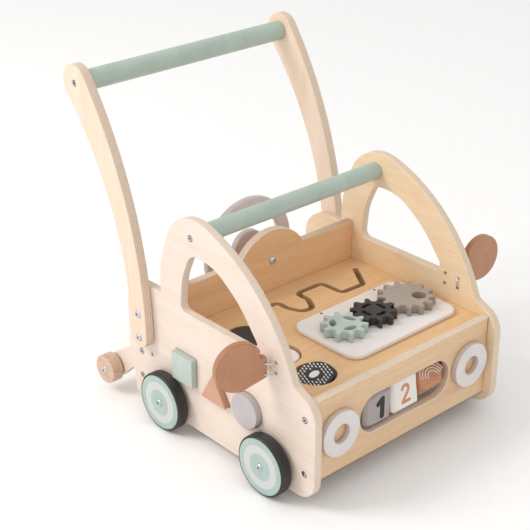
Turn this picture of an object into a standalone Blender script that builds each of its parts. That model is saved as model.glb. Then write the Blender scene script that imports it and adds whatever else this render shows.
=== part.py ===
"""Wooden push walker for a toddler, shaped like a small car.

Units are metres. +Z is up, the front of the car faces -Y, and X runs across it.
The origin is on the floor, below the middle of the whole object.
Left is the -X side. Plates are cut from one sheet thickness and meet at butt joints.
"""
import math

import bmesh
import bpy
from mathutils import Matrix, Vector

# ---------------------------------------------------------------- driving dimensions
GAP = 0.0003                # gap between pieces that touch
PLY = 0.012                 # sheet thickness of every panel
EASE = 0.0010               # eased edge of a cut panel
HALF_WIDTH = 0.175          # outer face of a side panel
INNER = HALF_WIDTH - PLY    # inner face of a side panel
FLOOR_CLEAR = 0.014         # underside of the side panels
NOSE_R = 0.030              # rounding of their lower front corner
SCREW_ZS = {"front_panel": (0.1290, 0.0500), "rear_rail": (0.0860, 0.0475)}
SCREW_R = 0.0022
SPARE_HOLE_Y, SPARE_HOLE_Z, SPARE_HOLE_R = 0.0845, 0.0905, 0.00275
FRONT_Y = -0.2365           # front edge of the side panels

WHEEL_R = 0.042
WHEEL_Y = {"front": -0.1605, "rear": 0.0435}
WHEEL_WIDTH = 0.0175
TYRE_WALL = 0.0025
WHEEL_OUT = 0.197           # outer side of the wheels
ROLLER_Y, ROLLER_Z, ROLLER_R = 0.1723, 0.0362, 0.0212
ROLLER_OUT, ROLLER_WIDTH = 0.195, 0.0178
BOLT_R = 0.0031

FRONT_PANEL_Y = -0.2235     # its front face
BACK_PANEL_Y = 0.0362       # its front face
TRAY_TOP = 0.147
PANEL_BOTTOM = 0.033
FRONT_PANEL_TOP = 0.1515
BACK_PANEL_BOTTOM, BACK_PANEL_TOP = 0.0900, 0.2065
RAIL_Y, RAIL_BOTTOM, RAIL_TOP = 0.1145, 0.0350, 0.0980      # its rear face
BUMP_X, BUMP_Z, BUMP_R = 0.0040, 0.1716, 0.0683

ROOF_DOWEL_Y, ROOF_DOWEL_Z, ROOF_DOWEL_R = -0.0050, 0.2978, 0.0125
HANDLE_Y, HANDLE_Z, HANDLE_R = 0.2110, 0.4515, 0.0141
ARM_THICK = 0.014
ARM_FOOT_Y, ARM_FOOT_Z = 0.0935, 0.1200     # lower arm bolt, where the arm starts
ARM_REACH, ARM_RISE = HANDLE_Y - ARM_FOOT_Y, HANDLE_Z - ARM_FOOT_Z
ARM_BEND_R = (ARM_REACH ** 2 + ARM_RISE ** 2) / (2 * ARM_REACH)   # one arc, upright at its foot
ARM_FOOT_HALF, ARM_HEAD_HALF = 0.0158, 0.0255
ARM_BOLT_RISE = 0.0355

WINDOW_X, WINDOW_Z = 0.0020, 0.0925         # middle of the window in the front panel
WINDOW_HALF, WINDOW_R = 0.0845, 0.0278
CUBE = 0.049                                # height and depth of a number cube
CUBE_LENGTH = 0.050
CUBE_PITCH = 0.0512
CUBE_CHAMFER = 0.0048
CUBES_X = 0.0050                            # middle of the middle cube
CUBE_Y = -0.1960
CUBE_ROD_R = 0.0040
CUBE_TURNS = {"one": 0.0, "two": -8.0, "three": 43.0}
# half the height of an end cube's face at distances from its middle towards the window's end
END_CURVES = {
    "one": ((0.0080, 0.0199), (0.0150, 0.0184), (0.0200, 0.0158), (0.0250, 0.0108)),
    "three": ((-0.0020, 0.0196), (0.0100, 0.0178), (0.0150, 0.0148), (0.0200, 0.0090)),
}

RING_X, RING_Z, RING_R, RING_HOLE_R, RING_THICK = 0.1235, 0.0940, 0.0320, 0.0135, 0.0080

FLIP_X = -0.110
FLIP_YS = {"front": -0.168, "middle": -0.103, "rear": -0.038}
FLIP_TURNS = {"front": -13.0, "middle": 9.0, "rear": -5.0}
FLIP_HOLE_R, FLIP_R, FLIP_THICK, FLIP_ROD_R = 0.0280, 0.0255, 0.0120, 0.0020

BOARD_X, BOARD_Y, BOARD_LENGTH, BOARD_DEPTH = 0.0470, -0.1240, 0.2040, 0.1220
BOARD_THICK, BOARD_CORNER = 0.0060, 0.0200
GEAR_Y = -0.1235
GEAR_MODULE = 0.0056
GEAR_THICK, GEAR_LIFT = 0.0120, 0.0010
GEAR_ADDENDUM, GEAR_DEDENDUM = 0.0040, 0.0047
GEAR_PIN_R = 0.0040
BLACK_GEAR_X = 0.0420

STEER_X, STEER_Z = BUMP_X, 0.1935
STEER_Y = 0.0835                            # front face of the steering wheel
STEER_R, STEER_INNER_R, STEER_HUB_R, STEER_THICK = 0.0780, 0.0585, 0.0290, 0.0100
STEER_SPOKE = 0.0080                        # half the width of a spoke

MIRROR_Y, MIRROR_Z = -0.1545, 0.1797        # middle of the two wire loops
MIRROR_LOOP = 0.0115                        # radius of a wire loop
MIRROR_RISE = 0.0075                        # each loop is this far above or below
MIRROR_BLADES = {"left": (0.0440, 0.0100), "right": (0.0431, 0.0190)}
MIRROR_R, MIRROR_THICK = 0.0330, 0.0100
MIRROR_TURNS = {"left": 12.0, "right": -3.0}    # swung to the rear of straight out
WIRE_R = 0.0011

BLOCK_PROUD = 0.0085
SQUARE_Y, SQUARE_Z, SQUARE_HALF = 0.0095, 0.1032, 0.0212
TRIANGLE_Y, TRIANGLE_Z, TRIANGLE_R = -0.0545, 0.0960, 0.0290
ROUND_Y, ROUND_Z, ROUND_R = -0.1150, 0.0962, 0.0246
BLOCK_SLACK = 0.0005

# ------------------------------------------------------------------------ colours
COLOURS = {
    "birch": (0.83, 0.66, 0.47, 1.0),
    "sage": (0.36, 0.45, 0.40, 1.0),
    "pale_sage": (0.55, 0.68, 0.61, 1.0),
    "cloud_grey": (0.60, 0.57, 0.57, 1.0),
    "white": (0.82, 0.79, 0.77, 1.0),
    "terracotta": (0.46, 0.19, 0.09, 1.0),
    "blush": (0.68, 0.38, 0.26, 1.0),
    "charcoal": (0.035, 0.032, 0.030, 1.0),
    "taupe": (0.38, 0.32, 0.26, 1.0),
    "beech": (0.72, 0.46, 0.31, 1.0),
    "rubber": (0.02, 0.02, 0.02, 1.0),
    "zinc": (0.70, 0.71, 0.74, 1.0),
}
METALS = {"zinc"}
ROUGHNESS = {"zinc": 0.3, "rubber": 0.75, "birch": 0.55, "beech": 0.5}

# local axes of a plate, turned into the world: across X, facing -Y, or lying flat
ACROSS = (math.radians(90), 0, math.radians(90))
FACING = (math.radians(90), 0, 0)
FLAT = (0, 0, 0)


# ------------------------------------------------------------------- flat outlines
def arc(centre, radius, start, end, steps):
    """Points on an arc, angles in degrees."""
    points = []
    for i in range(steps + 1):
        a = math.radians(start + (end - start) * i / steps)
        points.append((centre[0] + radius * math.cos(a), centre[1] + radius * math.sin(a)))
    return points


def circle(centre, radius, steps=24):
    """A whole circle, whose flats lie no closer to the centre than the radius."""
    outer = radius / math.cos(math.pi / steps)
    return arc(centre, outer, 0, 360, steps)[:-1]


def rounded(corners):
    """An outline from corners (x, y, radius): each corner becomes a tangent arc."""
    points = []
    count = len(corners)
    for i in range(count):
        here = Vector(corners[i][:2])
        before = (Vector(corners[i - 1][:2]) - here).normalized()
        after = (Vector(corners[(i + 1) % count][:2]) - here).normalized()
        radius = corners[i][2]
        if radius <= 0:
            points.append(tuple(here))
            continue
        opening = before.angle(after)
        reach = radius / math.tan(opening / 2)
        centre = here + (before + after).normalized() * radius / math.sin(opening / 2)
        start, end = here + before * reach - centre, here + after * reach - centre
        a0 = math.atan2(start.y, start.x)
        turn = (math.atan2(end.y, end.x) - a0 + math.pi) % (2 * math.pi) - math.pi
        steps = max(2, round(abs(turn) / math.radians(15)), round(abs(turn) * radius / 0.016))
        for k in range(steps + 1):
            a = a0 + turn * k / steps
            points.append((centre.x + radius * math.cos(a), centre.y + radius * math.sin(a)))
    return points


def anticlockwise(points):
    pairs = zip(points, points[1:] + points[:1])
    twice_area = sum(x0 * y1 - x1 * y0 for (x0, y0), (x1, y1) in pairs)
    return points if twice_area > 0 else points[::-1]


def inset(points, distance):
    """The outline moved inwards, or a hole moved outwards when it runs clockwise."""
    moved = []
    count = len(points)
    for i in range(count):
        before = (Vector(points[i]) - Vector(points[i - 1])).normalized()
        after = (Vector(points[(i + 1) % count]) - Vector(points[i])).normalized()
        n0, n1 = Vector((-before.y, before.x)), Vector((-after.y, after.x))
        bisector = (n0 + n1).normalized()
        reach = distance / max(0.5, bisector.dot(n0))
        moved.append(tuple(Vector(points[i]) + bisector * reach))
    return moved


def slot_outline(path, width):
    """A slot of even width along an open path, with half-round ends."""
    left, right = [], []
    for i, point in enumerate(path):
        before = Vector(path[max(i - 1, 0)])
        after = Vector(path[min(i + 1, len(path) - 1)])
        along = (after - before).normalized()
        normal = Vector((-along.y, along.x)) * width / 2
        left.append(tuple(Vector(point) + normal))
        right.append(tuple(Vector(point) - normal))
    caps = []
    for end, side in ((path[-1], left[-1]), (path[0], right[0])):
        a = math.degrees(math.atan2(side[1] - end[1], side[0] - end[0]))
        caps.append(arc(end, width / 2, a, a - 180, 6)[1:-1])
    return left + caps[0] + right[::-1] + caps[1]


# --------------------------------------------------------------------- solid makers
def material(name):
    found = bpy.data.materials.get(name)
    if found:
        return found
    made = bpy.data.materials.new(name)
    made.use_nodes = True
    shader = made.node_tree.nodes["Principled BSDF"]
    shader.inputs["Base Color"].default_value = COLOURS[name]
    shader.inputs["Roughness"].default_value = ROUGHNESS.get(name, 0.45)
    shader.inputs["Metallic"].default_value = 1.0 if name in METALS else 0.0
    made.diffuse_color = COLOURS[name]
    return made


def finish(name, bm, colour, smooth=False):
    """Turn a bmesh into a named object with outward faces."""
    bmesh.ops.remove_doubles(bm, verts=bm.verts, dist=1e-7)
    bmesh.ops.recalc_face_normals(bm, faces=bm.faces)
    mesh = bpy.data.meshes.new(name)
    bm.to_mesh(mesh)
    bm.free()
    if smooth:
        mesh.shade_smooth()
        mesh.set_sharp_from_angle(angle=math.radians(35))
    mesh.materials.append(material(colour))
    obj = bpy.data.objects.new(name, mesh)
    bpy.context.scene.collection.objects.link(obj)
    return obj


def place(obj, location, rotation=FLAT, parent=None):
    obj.location = location
    obj.rotation_euler = rotation
    if parent:
        obj.parent = parent
    return obj


def plate(name, outline, thickness, colour, holes=(), ease=EASE):
    """A sheet piece: local XY outline, local Z from 0 to its thickness, eased rim."""
    loops = [anticlockwise(list(outline))]
    loops += [anticlockwise(list(hole))[::-1] for hole in holes]
    bm = bmesh.new()
    square = [(0.0, 0.0), (thickness, 0.0)]
    eased = [(0.0, ease), (ease, 0.0), (thickness - ease, 0.0), (thickness, ease)]
    caps = ([], [])
    for number, loop in enumerate(loops):
        rings = []
        for height, back in (eased if ease and number == 0 else square):
            points = inset(loop, back) if back else loop
            rings.append([bm.verts.new((x, y, height)) for x, y in points])
        for low, high in zip(rings, rings[1:]):
            for i in range(len(low)):
                j = (i + 1) % len(low)
                bm.faces.new((low[i], low[j], high[j], high[i]))
        for cap, ring in zip(caps, (rings[0], rings[-1])):
            cap += [bm.edges.get(pair) for pair in zip(ring, ring[1:] + ring[:1])]
    for edges in caps:
        bmesh.ops.triangle_fill(bm, edges=edges, use_beauty=True)
    return finish(name, bm, colour)


def turned(name, profile, colour, steps=32):
    """A turned piece about local Z. A profile that leaves the axis open is a ring."""
    bm = bmesh.new()
    verts = [bm.verts.new((radius, 0.0, height)) for radius, height in profile]
    edges = [bm.edges.new(pair) for pair in zip(verts, verts[1:])]
    if profile[0][0] > 0:
        edges.append(bm.edges.new((verts[-1], verts[0])))
    bmesh.ops.spin(bm, geom=verts + edges, cent=(0, 0, 0), axis=(0, 0, 1),
                   angle=2 * math.pi, steps=steps, use_merge=True)
    bmesh.ops.remove_doubles(bm, verts=bm.verts, dist=1e-6)
    return finish(name, bm, colour, smooth=True)


def rod_profile(radius, length, ease):
    """Profile of a plain rod from z=0 to its length, with eased ends."""
    return [(0, 0), (radius - ease, 0), (radius, ease), (radius, length - ease),
            (radius - ease, length), (0, length)]


def ring_profile(inner, outer, height, ease):
    """Profile of a ring with a square bore and eased outer edges."""
    return [(inner, 0), (outer - ease, 0), (outer, ease), (outer, height - ease),
            (outer - ease, height), (inner, height)]


def cutter(obj):
    obj.hide_render = True
    obj.display_type = "WIRE"
    return obj


def combine(obj, other, operation):
    change = obj.modifiers.new(operation.lower(), "BOOLEAN")
    change.operation = operation
    change.solver = "EXACT"
    change.object = cutter(other)


def drill(obj, name, radius, start, end):
    """Cut a round hole between two points given in world coordinates."""
    start, end = Vector(start), Vector(end)
    length = (end - start).length
    bit = turned(name, rod_profile(radius, length, 0.0001), "zinc", 20)
    turn = Vector((0, 0, 1)).rotation_difference(end - start)
    place(bit, start, turn.to_euler())
    combine(obj, bit, "DIFFERENCE")


# -------------------------------------------------------------------- side panels
def side_outline():
    """Car side in (y, z): foot, bonnet, windscreen, roof, pillar, shoulder, bracket."""
    down = Vector((0.80, -0.60))
    up = Vector((0.60, 0.80))
    hub = Vector((ROLLER_Y, ROLLER_Z))
    cap = 0.0195
    tip_top = hub + down * cap + up * cap
    tip_low = hub + down * cap - up * cap
    neck_top = hub - down * 0.0500 + up * cap
    neck_low = hub - down * 0.0565 - up * cap
    return rounded([
        (FRONT_Y, FLOOR_CLEAR, NOSE_R),
        (0.1245, FLOOR_CLEAR, 0.012),
        (0.1260, neck_low.y + 0.0005, 0.004),
        (tip_low.x, tip_low.y, cap - 0.0001),
        (tip_top.x, tip_top.y, cap - 0.0001),
        (0.1358, neck_top.y - 0.0005, 0.006),
        (0.1358, 0.1965, 0.042),
        (0.0606, 0.1965, 0.0015),
        (0.0606, 0.2480, 0.190),
        (0.0192, 0.3385, 0.062),
        (-0.1430, 0.2896, 0.250),
        (-0.1980, 0.1660, 0.012),
        (FRONT_Y, 0.1500, 0.034),
    ])


def side_window():
    """Quarter-round window in (y, z) with rounded corners."""
    return rounded([
        (0.0185, 0.1865, 0.0095),
        (0.0140, 0.2340, 0.090),
        (-0.0040, 0.2745, 0.020),
        (-0.0500, 0.2750, 0.075),
        (-0.0985, 0.2405, 0.140),
        (-0.1420, 0.1865, 0.0095),
    ])


def block_outline(shape, slack=0.0):
    """Outline of a sorter block in (y, z). Slack makes the hole it fits."""
    if shape == "square":
        h = SQUARE_HALF + slack
        corners = [(SQUARE_Y - h, SQUARE_Z - h), (SQUARE_Y + h, SQUARE_Z - h),
                   (SQUARE_Y + h, SQUARE_Z + h), (SQUARE_Y - h, SQUARE_Z + h)]
        return rounded([(y, z, 0.002) for y, z in corners])
    if shape == "triangle":
        corners = arc((TRIANGLE_Y, TRIANGLE_Z), TRIANGLE_R + 2 * slack, 90, 450, 3)[:-1]
        return rounded([(y, z, 0.002) for y, z in corners])
    return circle((ROUND_Y, ROUND_Z), ROUND_R + slack, 32)


def side_bolt_places():
    """Every small round hole through a side panel but the spare one: (y, z, radius)."""
    holes = [(FRONT_PANEL_Y + PLY / 2, z, SCREW_R) for z in SCREW_ZS["front_panel"]]
    holes += [(RAIL_Y - PLY / 2, z, SCREW_R) for z in SCREW_ZS["rear_rail"]]
    holes += [(ROOF_DOWEL_Y, ROOF_DOWEL_Z, SCREW_R)]
    holes += [(y, WHEEL_R, BOLT_R + 0.0004) for y in WHEEL_Y.values()]
    holes += [(ROLLER_Y, ROLLER_Z, BOLT_R + 0.0004)]
    holes += [(ARM_FOOT_Y, ARM_FOOT_Z + rise, BOLT_R + 0.0004) for rise in (0, ARM_BOLT_RISE)]
    for rise in (-MIRROR_RISE, MIRROR_RISE):
        for along in (-MIRROR_LOOP, MIRROR_LOOP):
            holes.append((MIRROR_Y + along, MIRROR_Z + rise, WIRE_R + 0.0006))
    return holes


def side_panel(side, sign, shapes):
    holes = [side_window()]
    holes += [circle((y, z), radius, 8) for y, z, radius in side_bolt_places()]
    holes += [circle((SPARE_HOLE_Y, SPARE_HOLE_Z), SPARE_HOLE_R, 32)]
    holes += [block_outline(shape, BLOCK_SLACK) for shape in shapes]
    panel = plate(f"side_panel_{side}", side_outline(), PLY, "birch", holes)
    place(panel, (-HALF_WIDTH if sign < 0 else INNER, 0, 0), ACROSS)
    socket = (sign * (INNER - 0.002), CUBE_Y, WINDOW_Z)
    drill(panel, f"rod_socket_{side}", CUBE_ROD_R + 0.0003, socket,
          (sign * (INNER + 0.006), CUBE_Y, WINDOW_Z))
    return panel


# ------------------------------------------------------------------ inner panels
def stadium(x, z, half_length, radius):
    ends = arc((x + half_length - radius, z), radius, -90, 90, 12)
    return ends + arc((x - half_length + radius, z), radius, 90, 270, 12)


def front_panel():
    half = INNER - GAP
    outline = rounded([(-half, PANEL_BOTTOM, 0), (half, PANEL_BOTTOM, 0),
                       (half, FRONT_PANEL_TOP, 0), (-half, FRONT_PANEL_TOP, 0)])
    window = stadium(WINDOW_X, WINDOW_Z, WINDOW_HALF, WINDOW_R)
    panel = plate("front_panel", outline, PLY, "birch", [window], 0.0015)
    return place(panel, (0, FRONT_PANEL_Y + PLY, 0), FACING)


def back_panel():
    half = INNER - GAP
    rise = math.degrees(math.asin((BACK_PANEL_TOP - BUMP_Z) / BUMP_R))
    bump = arc((BUMP_X, BUMP_Z), BUMP_R, rise, 180 - rise, 16)
    outline = [(-half, BACK_PANEL_BOTTOM), (half, BACK_PANEL_BOTTOM), (half, BACK_PANEL_TOP)]
    outline += bump + [(-half, BACK_PANEL_TOP)]
    bore = circle((STEER_X, STEER_Z), BOLT_R + 0.0003, 16)
    panel = plate("back_panel", outline, PLY, "birch", [bore])
    return place(panel, (0, BACK_PANEL_Y + PLY, 0), FACING)


def rear_rail():
    half = INNER - GAP
    outline = [(-half, RAIL_BOTTOM), (half, RAIL_BOTTOM), (half, RAIL_TOP), (-half, RAIL_TOP)]
    rail = plate("rear_rail", outline, PLY, "birch")
    return place(rail, (0, RAIL_Y, 0), FACING)


def maze_slot():
    """The winding slot in the tray, from its right end to its left end, in (x, y)."""
    bend = 0.008
    corners = [(0.1380, 0.0040), (0.1125, -0.0365, bend), (0.0720, -0.0345, bend),
               (0.0700, 0.0050, bend), (0.0225, 0.0060, bend), (0.0225, -0.0170, 0.012),
               (0.0090, -0.0420, 0.012), (-0.0090, -0.0360, 0.012),
               (-0.0165, -0.0160, 0.012), (-0.0165, 0.0040, bend), (-0.0600, 0.0040)]
    inner = rounded([corners[0] + (0,)] + corners[1:-1] + [corners[-1] + (0,)])
    return slot_outline(inner, 0.0085)


def tray():
    half = INNER - GAP
    front = FRONT_PANEL_Y + PLY + GAP
    rear = BACK_PANEL_Y - GAP
    outline = [(-half, front), (half, front), (half, rear), (-half, rear)]
    holes = [circle((FLIP_X, y), FLIP_HOLE_R, 40) for y in FLIP_YS.values()]
    board = plate("tray", outline, PLY, "birch", holes + [maze_slot()])
    place(board, (0, 0, TRAY_TOP - PLY))
    height = TRAY_TOP - PLY / 2
    drill(board, "tray_rod_bore", FLIP_ROD_R + 0.0004, (FLIP_X, front - 0.01, height),
          (FLIP_X, rear + 0.01, height))
    return board


# --------------------------------------------------------------- arms and dowels
def arm_outline():
    """Push arm in (y, z): a strip about one arc that widens towards a round head."""
    end = math.asin(ARM_RISE / ARM_BEND_R)
    steps = 18
    rear, front = [], []
    for i in range(steps + 1):
        t = i / steps
        a = end * t
        half = ARM_FOOT_HALF + (ARM_HEAD_HALF - ARM_FOOT_HALF) * t * t
        y = ARM_FOOT_Y + ARM_BEND_R * (1 - math.cos(a))
        z = ARM_FOOT_Z + ARM_BEND_R * math.sin(a)
        rear.append((y + half * math.cos(a), z - half * math.sin(a)))
        front.append((y - half * math.cos(a), z + half * math.sin(a)))
    head = (HANDLE_Y, HANDLE_Z)
    tilt = -math.degrees(end)
    top = arc(head, ARM_HEAD_HALF, tilt, tilt + 180, 14)[1:-1]
    foot = arc((ARM_FOOT_Y, ARM_FOOT_Z), ARM_FOOT_HALF, 180, 360, 10)[1:-1]
    return rear + top + front[::-1] + foot


def push_arm(side, sign):
    bores = [circle((ARM_FOOT_Y, ARM_FOOT_Z + rise), BOLT_R + 0.0004, 8)
             for rise in (0, ARM_BOLT_RISE)]
    bores.append(circle((HANDLE_Y, HANDLE_Z), SCREW_R, 8))
    arm = plate(f"push_arm_{side}", arm_outline(), ARM_THICK, "birch", bores)
    x = -HALF_WIDTH - GAP - ARM_THICK if sign < 0 else HALF_WIDTH + GAP
    return place(arm, (x, 0, 0), ACROSS)


def dowels():
    handle = turned("handle_dowel", rod_profile(HANDLE_R, 2 * HALF_WIDTH, 0.0008), "sage", 28)
    place(handle, (-HALF_WIDTH, HANDLE_Y, HANDLE_Z), (0, math.radians(90), 0))
    length = 2 * (INNER - GAP)
    roof = turned("roof_dowel", rod_profile(ROOF_DOWEL_R, length, 0.0008), "sage", 28)
    place(roof, (-INNER + GAP, ROOF_DOWEL_Y, ROOF_DOWEL_Z), (0, math.radians(90), 0))


def bolt_profile(shank_end, head_start, collar=None):
    """Shank, optional collar and domed head along local Z, the head outermost."""
    points = [(0, shank_end), (BOLT_R, shank_end)]
    if collar:
        low, high, radius = collar
        points += [(BOLT_R, low), (radius, low), (radius, high), (BOLT_R, high)]
    points += [(BOLT_R, head_start), (0.0056, head_start), (0.0056, head_start + 0.0012),
               (0.0040, head_start + 0.0025), (0, head_start + 0.0027)]
    return points


def side_bolt(name, sign, y, z, shank_end, head_start, collar=None):
    """A bolt along X whose head faces outwards. Distances are measured from x = 0."""
    bolt = turned(name, bolt_profile(shank_end, head_start, collar), "zinc", 12)
    return place(bolt, (0, y, z), (0, math.radians(90 * sign), 0))


# ------------------------------------------------------------- wheels and rollers
def wheel(end, side, sign):
    centre = (sign * (WHEEL_OUT - WHEEL_WIDTH), WHEEL_Y[end], WHEEL_R)
    hub = bpy.data.objects.new(f"{end}_{side}_hub", None)
    bpy.context.scene.collection.objects.link(hub)
    place(hub, centre, (0, math.radians(90 * sign), 0))
    rim = WHEEL_R - TYRE_WALL - GAP
    disc = turned(f"wheel_disc_{end}_{side}",
                  ring_profile(BOLT_R + 0.0004, rim, WHEEL_WIDTH, 0.0008), "pale_sage", 32)
    place(disc, (0, 0, 0), FLAT, hub)
    wall = [(WHEEL_R - TYRE_WALL, 0.0002), (WHEEL_R - 0.0015, 0.0), (WHEEL_R, 0.0020),
            (WHEEL_R, WHEEL_WIDTH - 0.0020), (WHEEL_R - 0.0015, WHEEL_WIDTH),
            (WHEEL_R - TYRE_WALL, WHEEL_WIDTH - 0.0002)]
    tyre = turned(f"tyre_{end}_{side}", wall, "rubber", 32)
    place(tyre, (0, 0, 0), FLAT, hub)
    collar = (HALF_WIDTH + GAP, WHEEL_OUT - WHEEL_WIDTH - GAP, 0.0070)
    side_bolt(f"wheel_bolt_{end}_{side}", sign, WHEEL_Y[end], WHEEL_R,
              INNER - 0.004, WHEEL_OUT + GAP, collar)


def roller(side, sign):
    body = turned(f"roller_{side}",
                  ring_profile(BOLT_R + 0.0004, ROLLER_R, ROLLER_WIDTH, 0.0012), "beech", 28)
    start = ROLLER_OUT - ROLLER_WIDTH
    place(body, (sign * start, ROLLER_Y, ROLLER_Z), (0, math.radians(90 * sign), 0))
    collar = (HALF_WIDTH + GAP, start - GAP, 0.0060)
    side_bolt(f"roller_bolt_{side}", sign, ROLLER_Y, ROLLER_Z, INNER - 0.004,
              ROLLER_OUT + GAP, collar)


# ------------------------------------------------------------------- front pieces
def headlight_ring(side, sign):
    ring = turned(f"headlight_ring_{side}",
                  ring_profile(RING_HOLE_R, RING_R, RING_THICK, 0.0010), "cloud_grey", 32)
    place(ring, (sign * RING_X, FRONT_PANEL_Y - GAP, RING_Z), (math.radians(90), 0, 0))


def planed(name, size, cuts, colour):
    """A block planed down by flat cuts, each a direction and a distance from its middle."""
    bm = bmesh.new()
    bmesh.ops.create_cube(bm, size=1.0, matrix=Matrix.Diagonal((*size, 1.0)))
    for direction, distance in cuts:
        normal = Vector(direction).normalized()
        geometry = bm.verts[:] + bm.edges[:] + bm.faces[:]
        cut = bmesh.ops.bisect_plane(bm, geom=geometry, plane_co=normal * distance,
                                     plane_no=normal, clear_outer=True)
        rim = [part for part in cut["geom_cut"] if isinstance(part, bmesh.types.BMEdge)]
        bmesh.ops.edgenet_fill(bm, edges=rim)
    return finish(name, bm, colour)


def end_cuts(end, curve):
    """Cuts at one end of a number block: four chamfers, and four rows of cuts along its
    long corners when its faces follow the round end of the window."""
    reach = (CUBE_LENGTH / 2 + CUBE / 2 - CUBE_CHAMFER) / math.sqrt(2)
    cuts = [((end, y, z), reach) for y, z in ((1, 0), (-1, 0), (0, 1), (0, -1))]
    corner = [(x, (CUBE / 2 + half) / math.sqrt(2)) for x, half in curve]
    for (x0, out0), (x1, out1) in zip(corner, corner[1:]):
        steep = Vector((out0 - out1, x1 - x0)).normalized()
        side = steep.y / math.sqrt(2)
        cuts += [((end * steep.x, y * side, z * side), steep.dot((x0, out0)))
                 for y in (-1, 1) for z in (-1, 1)]
    return cuts


def number_cube(name, index):
    """A block with cut edges that turns on a rod. The outer two narrow outwards."""
    reach = (CUBE - CUBE_CHAMFER) / math.sqrt(2)
    cuts = [((0, y, z), reach) for y in (-1, 1) for z in (-1, 1)]
    for end in (-1, 1):
        cuts += end_cuts(end, END_CURVES[name] if end == index else ())
    colour = {"one": "cloud_grey", "two": "white", "three": "terracotta"}[name]
    cube = planed(f"number_cube_{name}", (CUBE_LENGTH, CUBE, CUBE), cuts, colour)
    x = CUBES_X + index * CUBE_PITCH
    place(cube, (x, CUBE_Y, WINDOW_Z), (math.radians(CUBE_TURNS[name]), 0, 0))
    drill(cube, f"number_bore_{name}", CUBE_ROD_R + 0.0004,
          (x - CUBE_LENGTH, CUBE_Y, WINDOW_Z), (x + CUBE_LENGTH, CUBE_Y, WINDOW_Z))


def cube_rod():
    length = 2 * (INNER + 0.005)
    rod = turned("cube_rod", rod_profile(CUBE_ROD_R, length, 0.0005), "zinc", 16)
    place(rod, (-length / 2, CUBE_Y, WINDOW_Z), (0, math.radians(90), 0))


# -------------------------------------------------------------------- tray pieces
def flip_disc(name):
    y = FLIP_YS[name]
    height = TRAY_TOP - PLY / 2
    colour = {"front": "charcoal", "middle": "white", "rear": "charcoal"}[name]
    profile = rod_profile(FLIP_R, FLIP_THICK, 0.0010)
    disc = turned(f"flip_disc_{name}", profile, colour, 32)
    turn = Matrix.Rotation(math.radians(FLIP_TURNS[name]), 4, "Y")
    centred = turn @ Matrix.Translation((0, 0, -FLIP_THICK / 2))
    disc.matrix_world = Matrix.Translation((FLIP_X, y, height)) @ centred
    drill(disc, f"flip_bore_{name}", FLIP_ROD_R + 0.0004, (FLIP_X, y - 0.04, height),
          (FLIP_X, y + 0.04, height))


def flip_rod():
    start, end = FRONT_PANEL_Y + PLY + 0.004, BACK_PANEL_Y - 0.004
    rod = turned("flip_rod", rod_profile(FLIP_ROD_R, end - start, 0.0003), "zinc", 12)
    place(rod, (FLIP_X, start, TRAY_TOP - PLY / 2), (math.radians(-90), 0, 0))


def gear_board():
    x, y = BOARD_LENGTH / 2, BOARD_DEPTH / 2
    outline = rounded([(-x, -y, BOARD_CORNER), (x, -y, BOARD_CORNER),
                       (x, y, BOARD_CORNER), (-x, y, BOARD_CORNER)])
    board = plate("gear_board", outline, BOARD_THICK, "white", (), 0.0012)
    place(board, (BOARD_X, BOARD_Y, TRAY_TOP + GAP))


def gear_outline(teeth, phase):
    """Teeth with straight flanks and rounded gullets. Phase is a tooth's angle."""
    pitch_r = GEAR_MODULE * teeth / 2
    pitch = 360 / teeth
    root, tip = pitch_r - GEAR_DEDENDUM, pitch_r + GEAR_ADDENDUM
    flank = [(-0.335, root + 0.0003), (-0.275, root + 0.0014), (-0.215, pitch_r),
             (-0.145, tip - 0.0010), (-0.090, tip)]
    shape = flank + [(-part, radius) for part, radius in flank[::-1]] + [(0.5, root)]
    points = []
    for i in range(teeth):
        for part, radius in shape:
            a = math.radians(phase + (i + part) * pitch)
            points.append((radius * math.cos(a), radius * math.sin(a)))
    return points


def leaf(centre, angle, length, width):
    """A pointed oval hole whose long side lies along an angle."""
    half = length / 2
    radius = (half * half + width * width / 4) / width
    sweep = math.degrees(math.asin(half / radius))
    drop = radius - width / 2
    near = arc((0, -drop), radius, 90 - sweep, 90 + sweep, 6)
    far = arc((0, drop), radius, 270 - sweep, 270 + sweep, 6)
    turn = Matrix.Rotation(math.radians(angle), 2)
    points = near[:-1] + far[:-1]
    return [tuple(turn @ Vector(p) + Vector(centre)) for p in points]


def curved_slot(radius, middle, sweep, width):
    path = arc((0, 0), radius, middle - sweep / 2, middle + sweep / 2, 6)
    return slot_outline(path, width)


def gear(name, x, teeth, phase, colour, holes):
    body = plate(f"gear_{name}", gear_outline(teeth, phase), GEAR_THICK, colour, holes, 0)
    low = TRAY_TOP + GAP + BOARD_THICK + GEAR_LIFT
    place(body, (x, GEAR_Y, low))
    drill(body, f"gear_socket_{name}", GEAR_PIN_R + 0.0003, (x, GEAR_Y, low - 0.001),
          (x, GEAR_Y, low + 0.008))
    top = low - GEAR_LIFT + GAP
    pin = turned(f"gear_pin_{name}", rod_profile(GEAR_PIN_R, 0.0075, 0.0004), "beech", 16)
    place(pin, (x, GEAR_Y, top))


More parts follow.
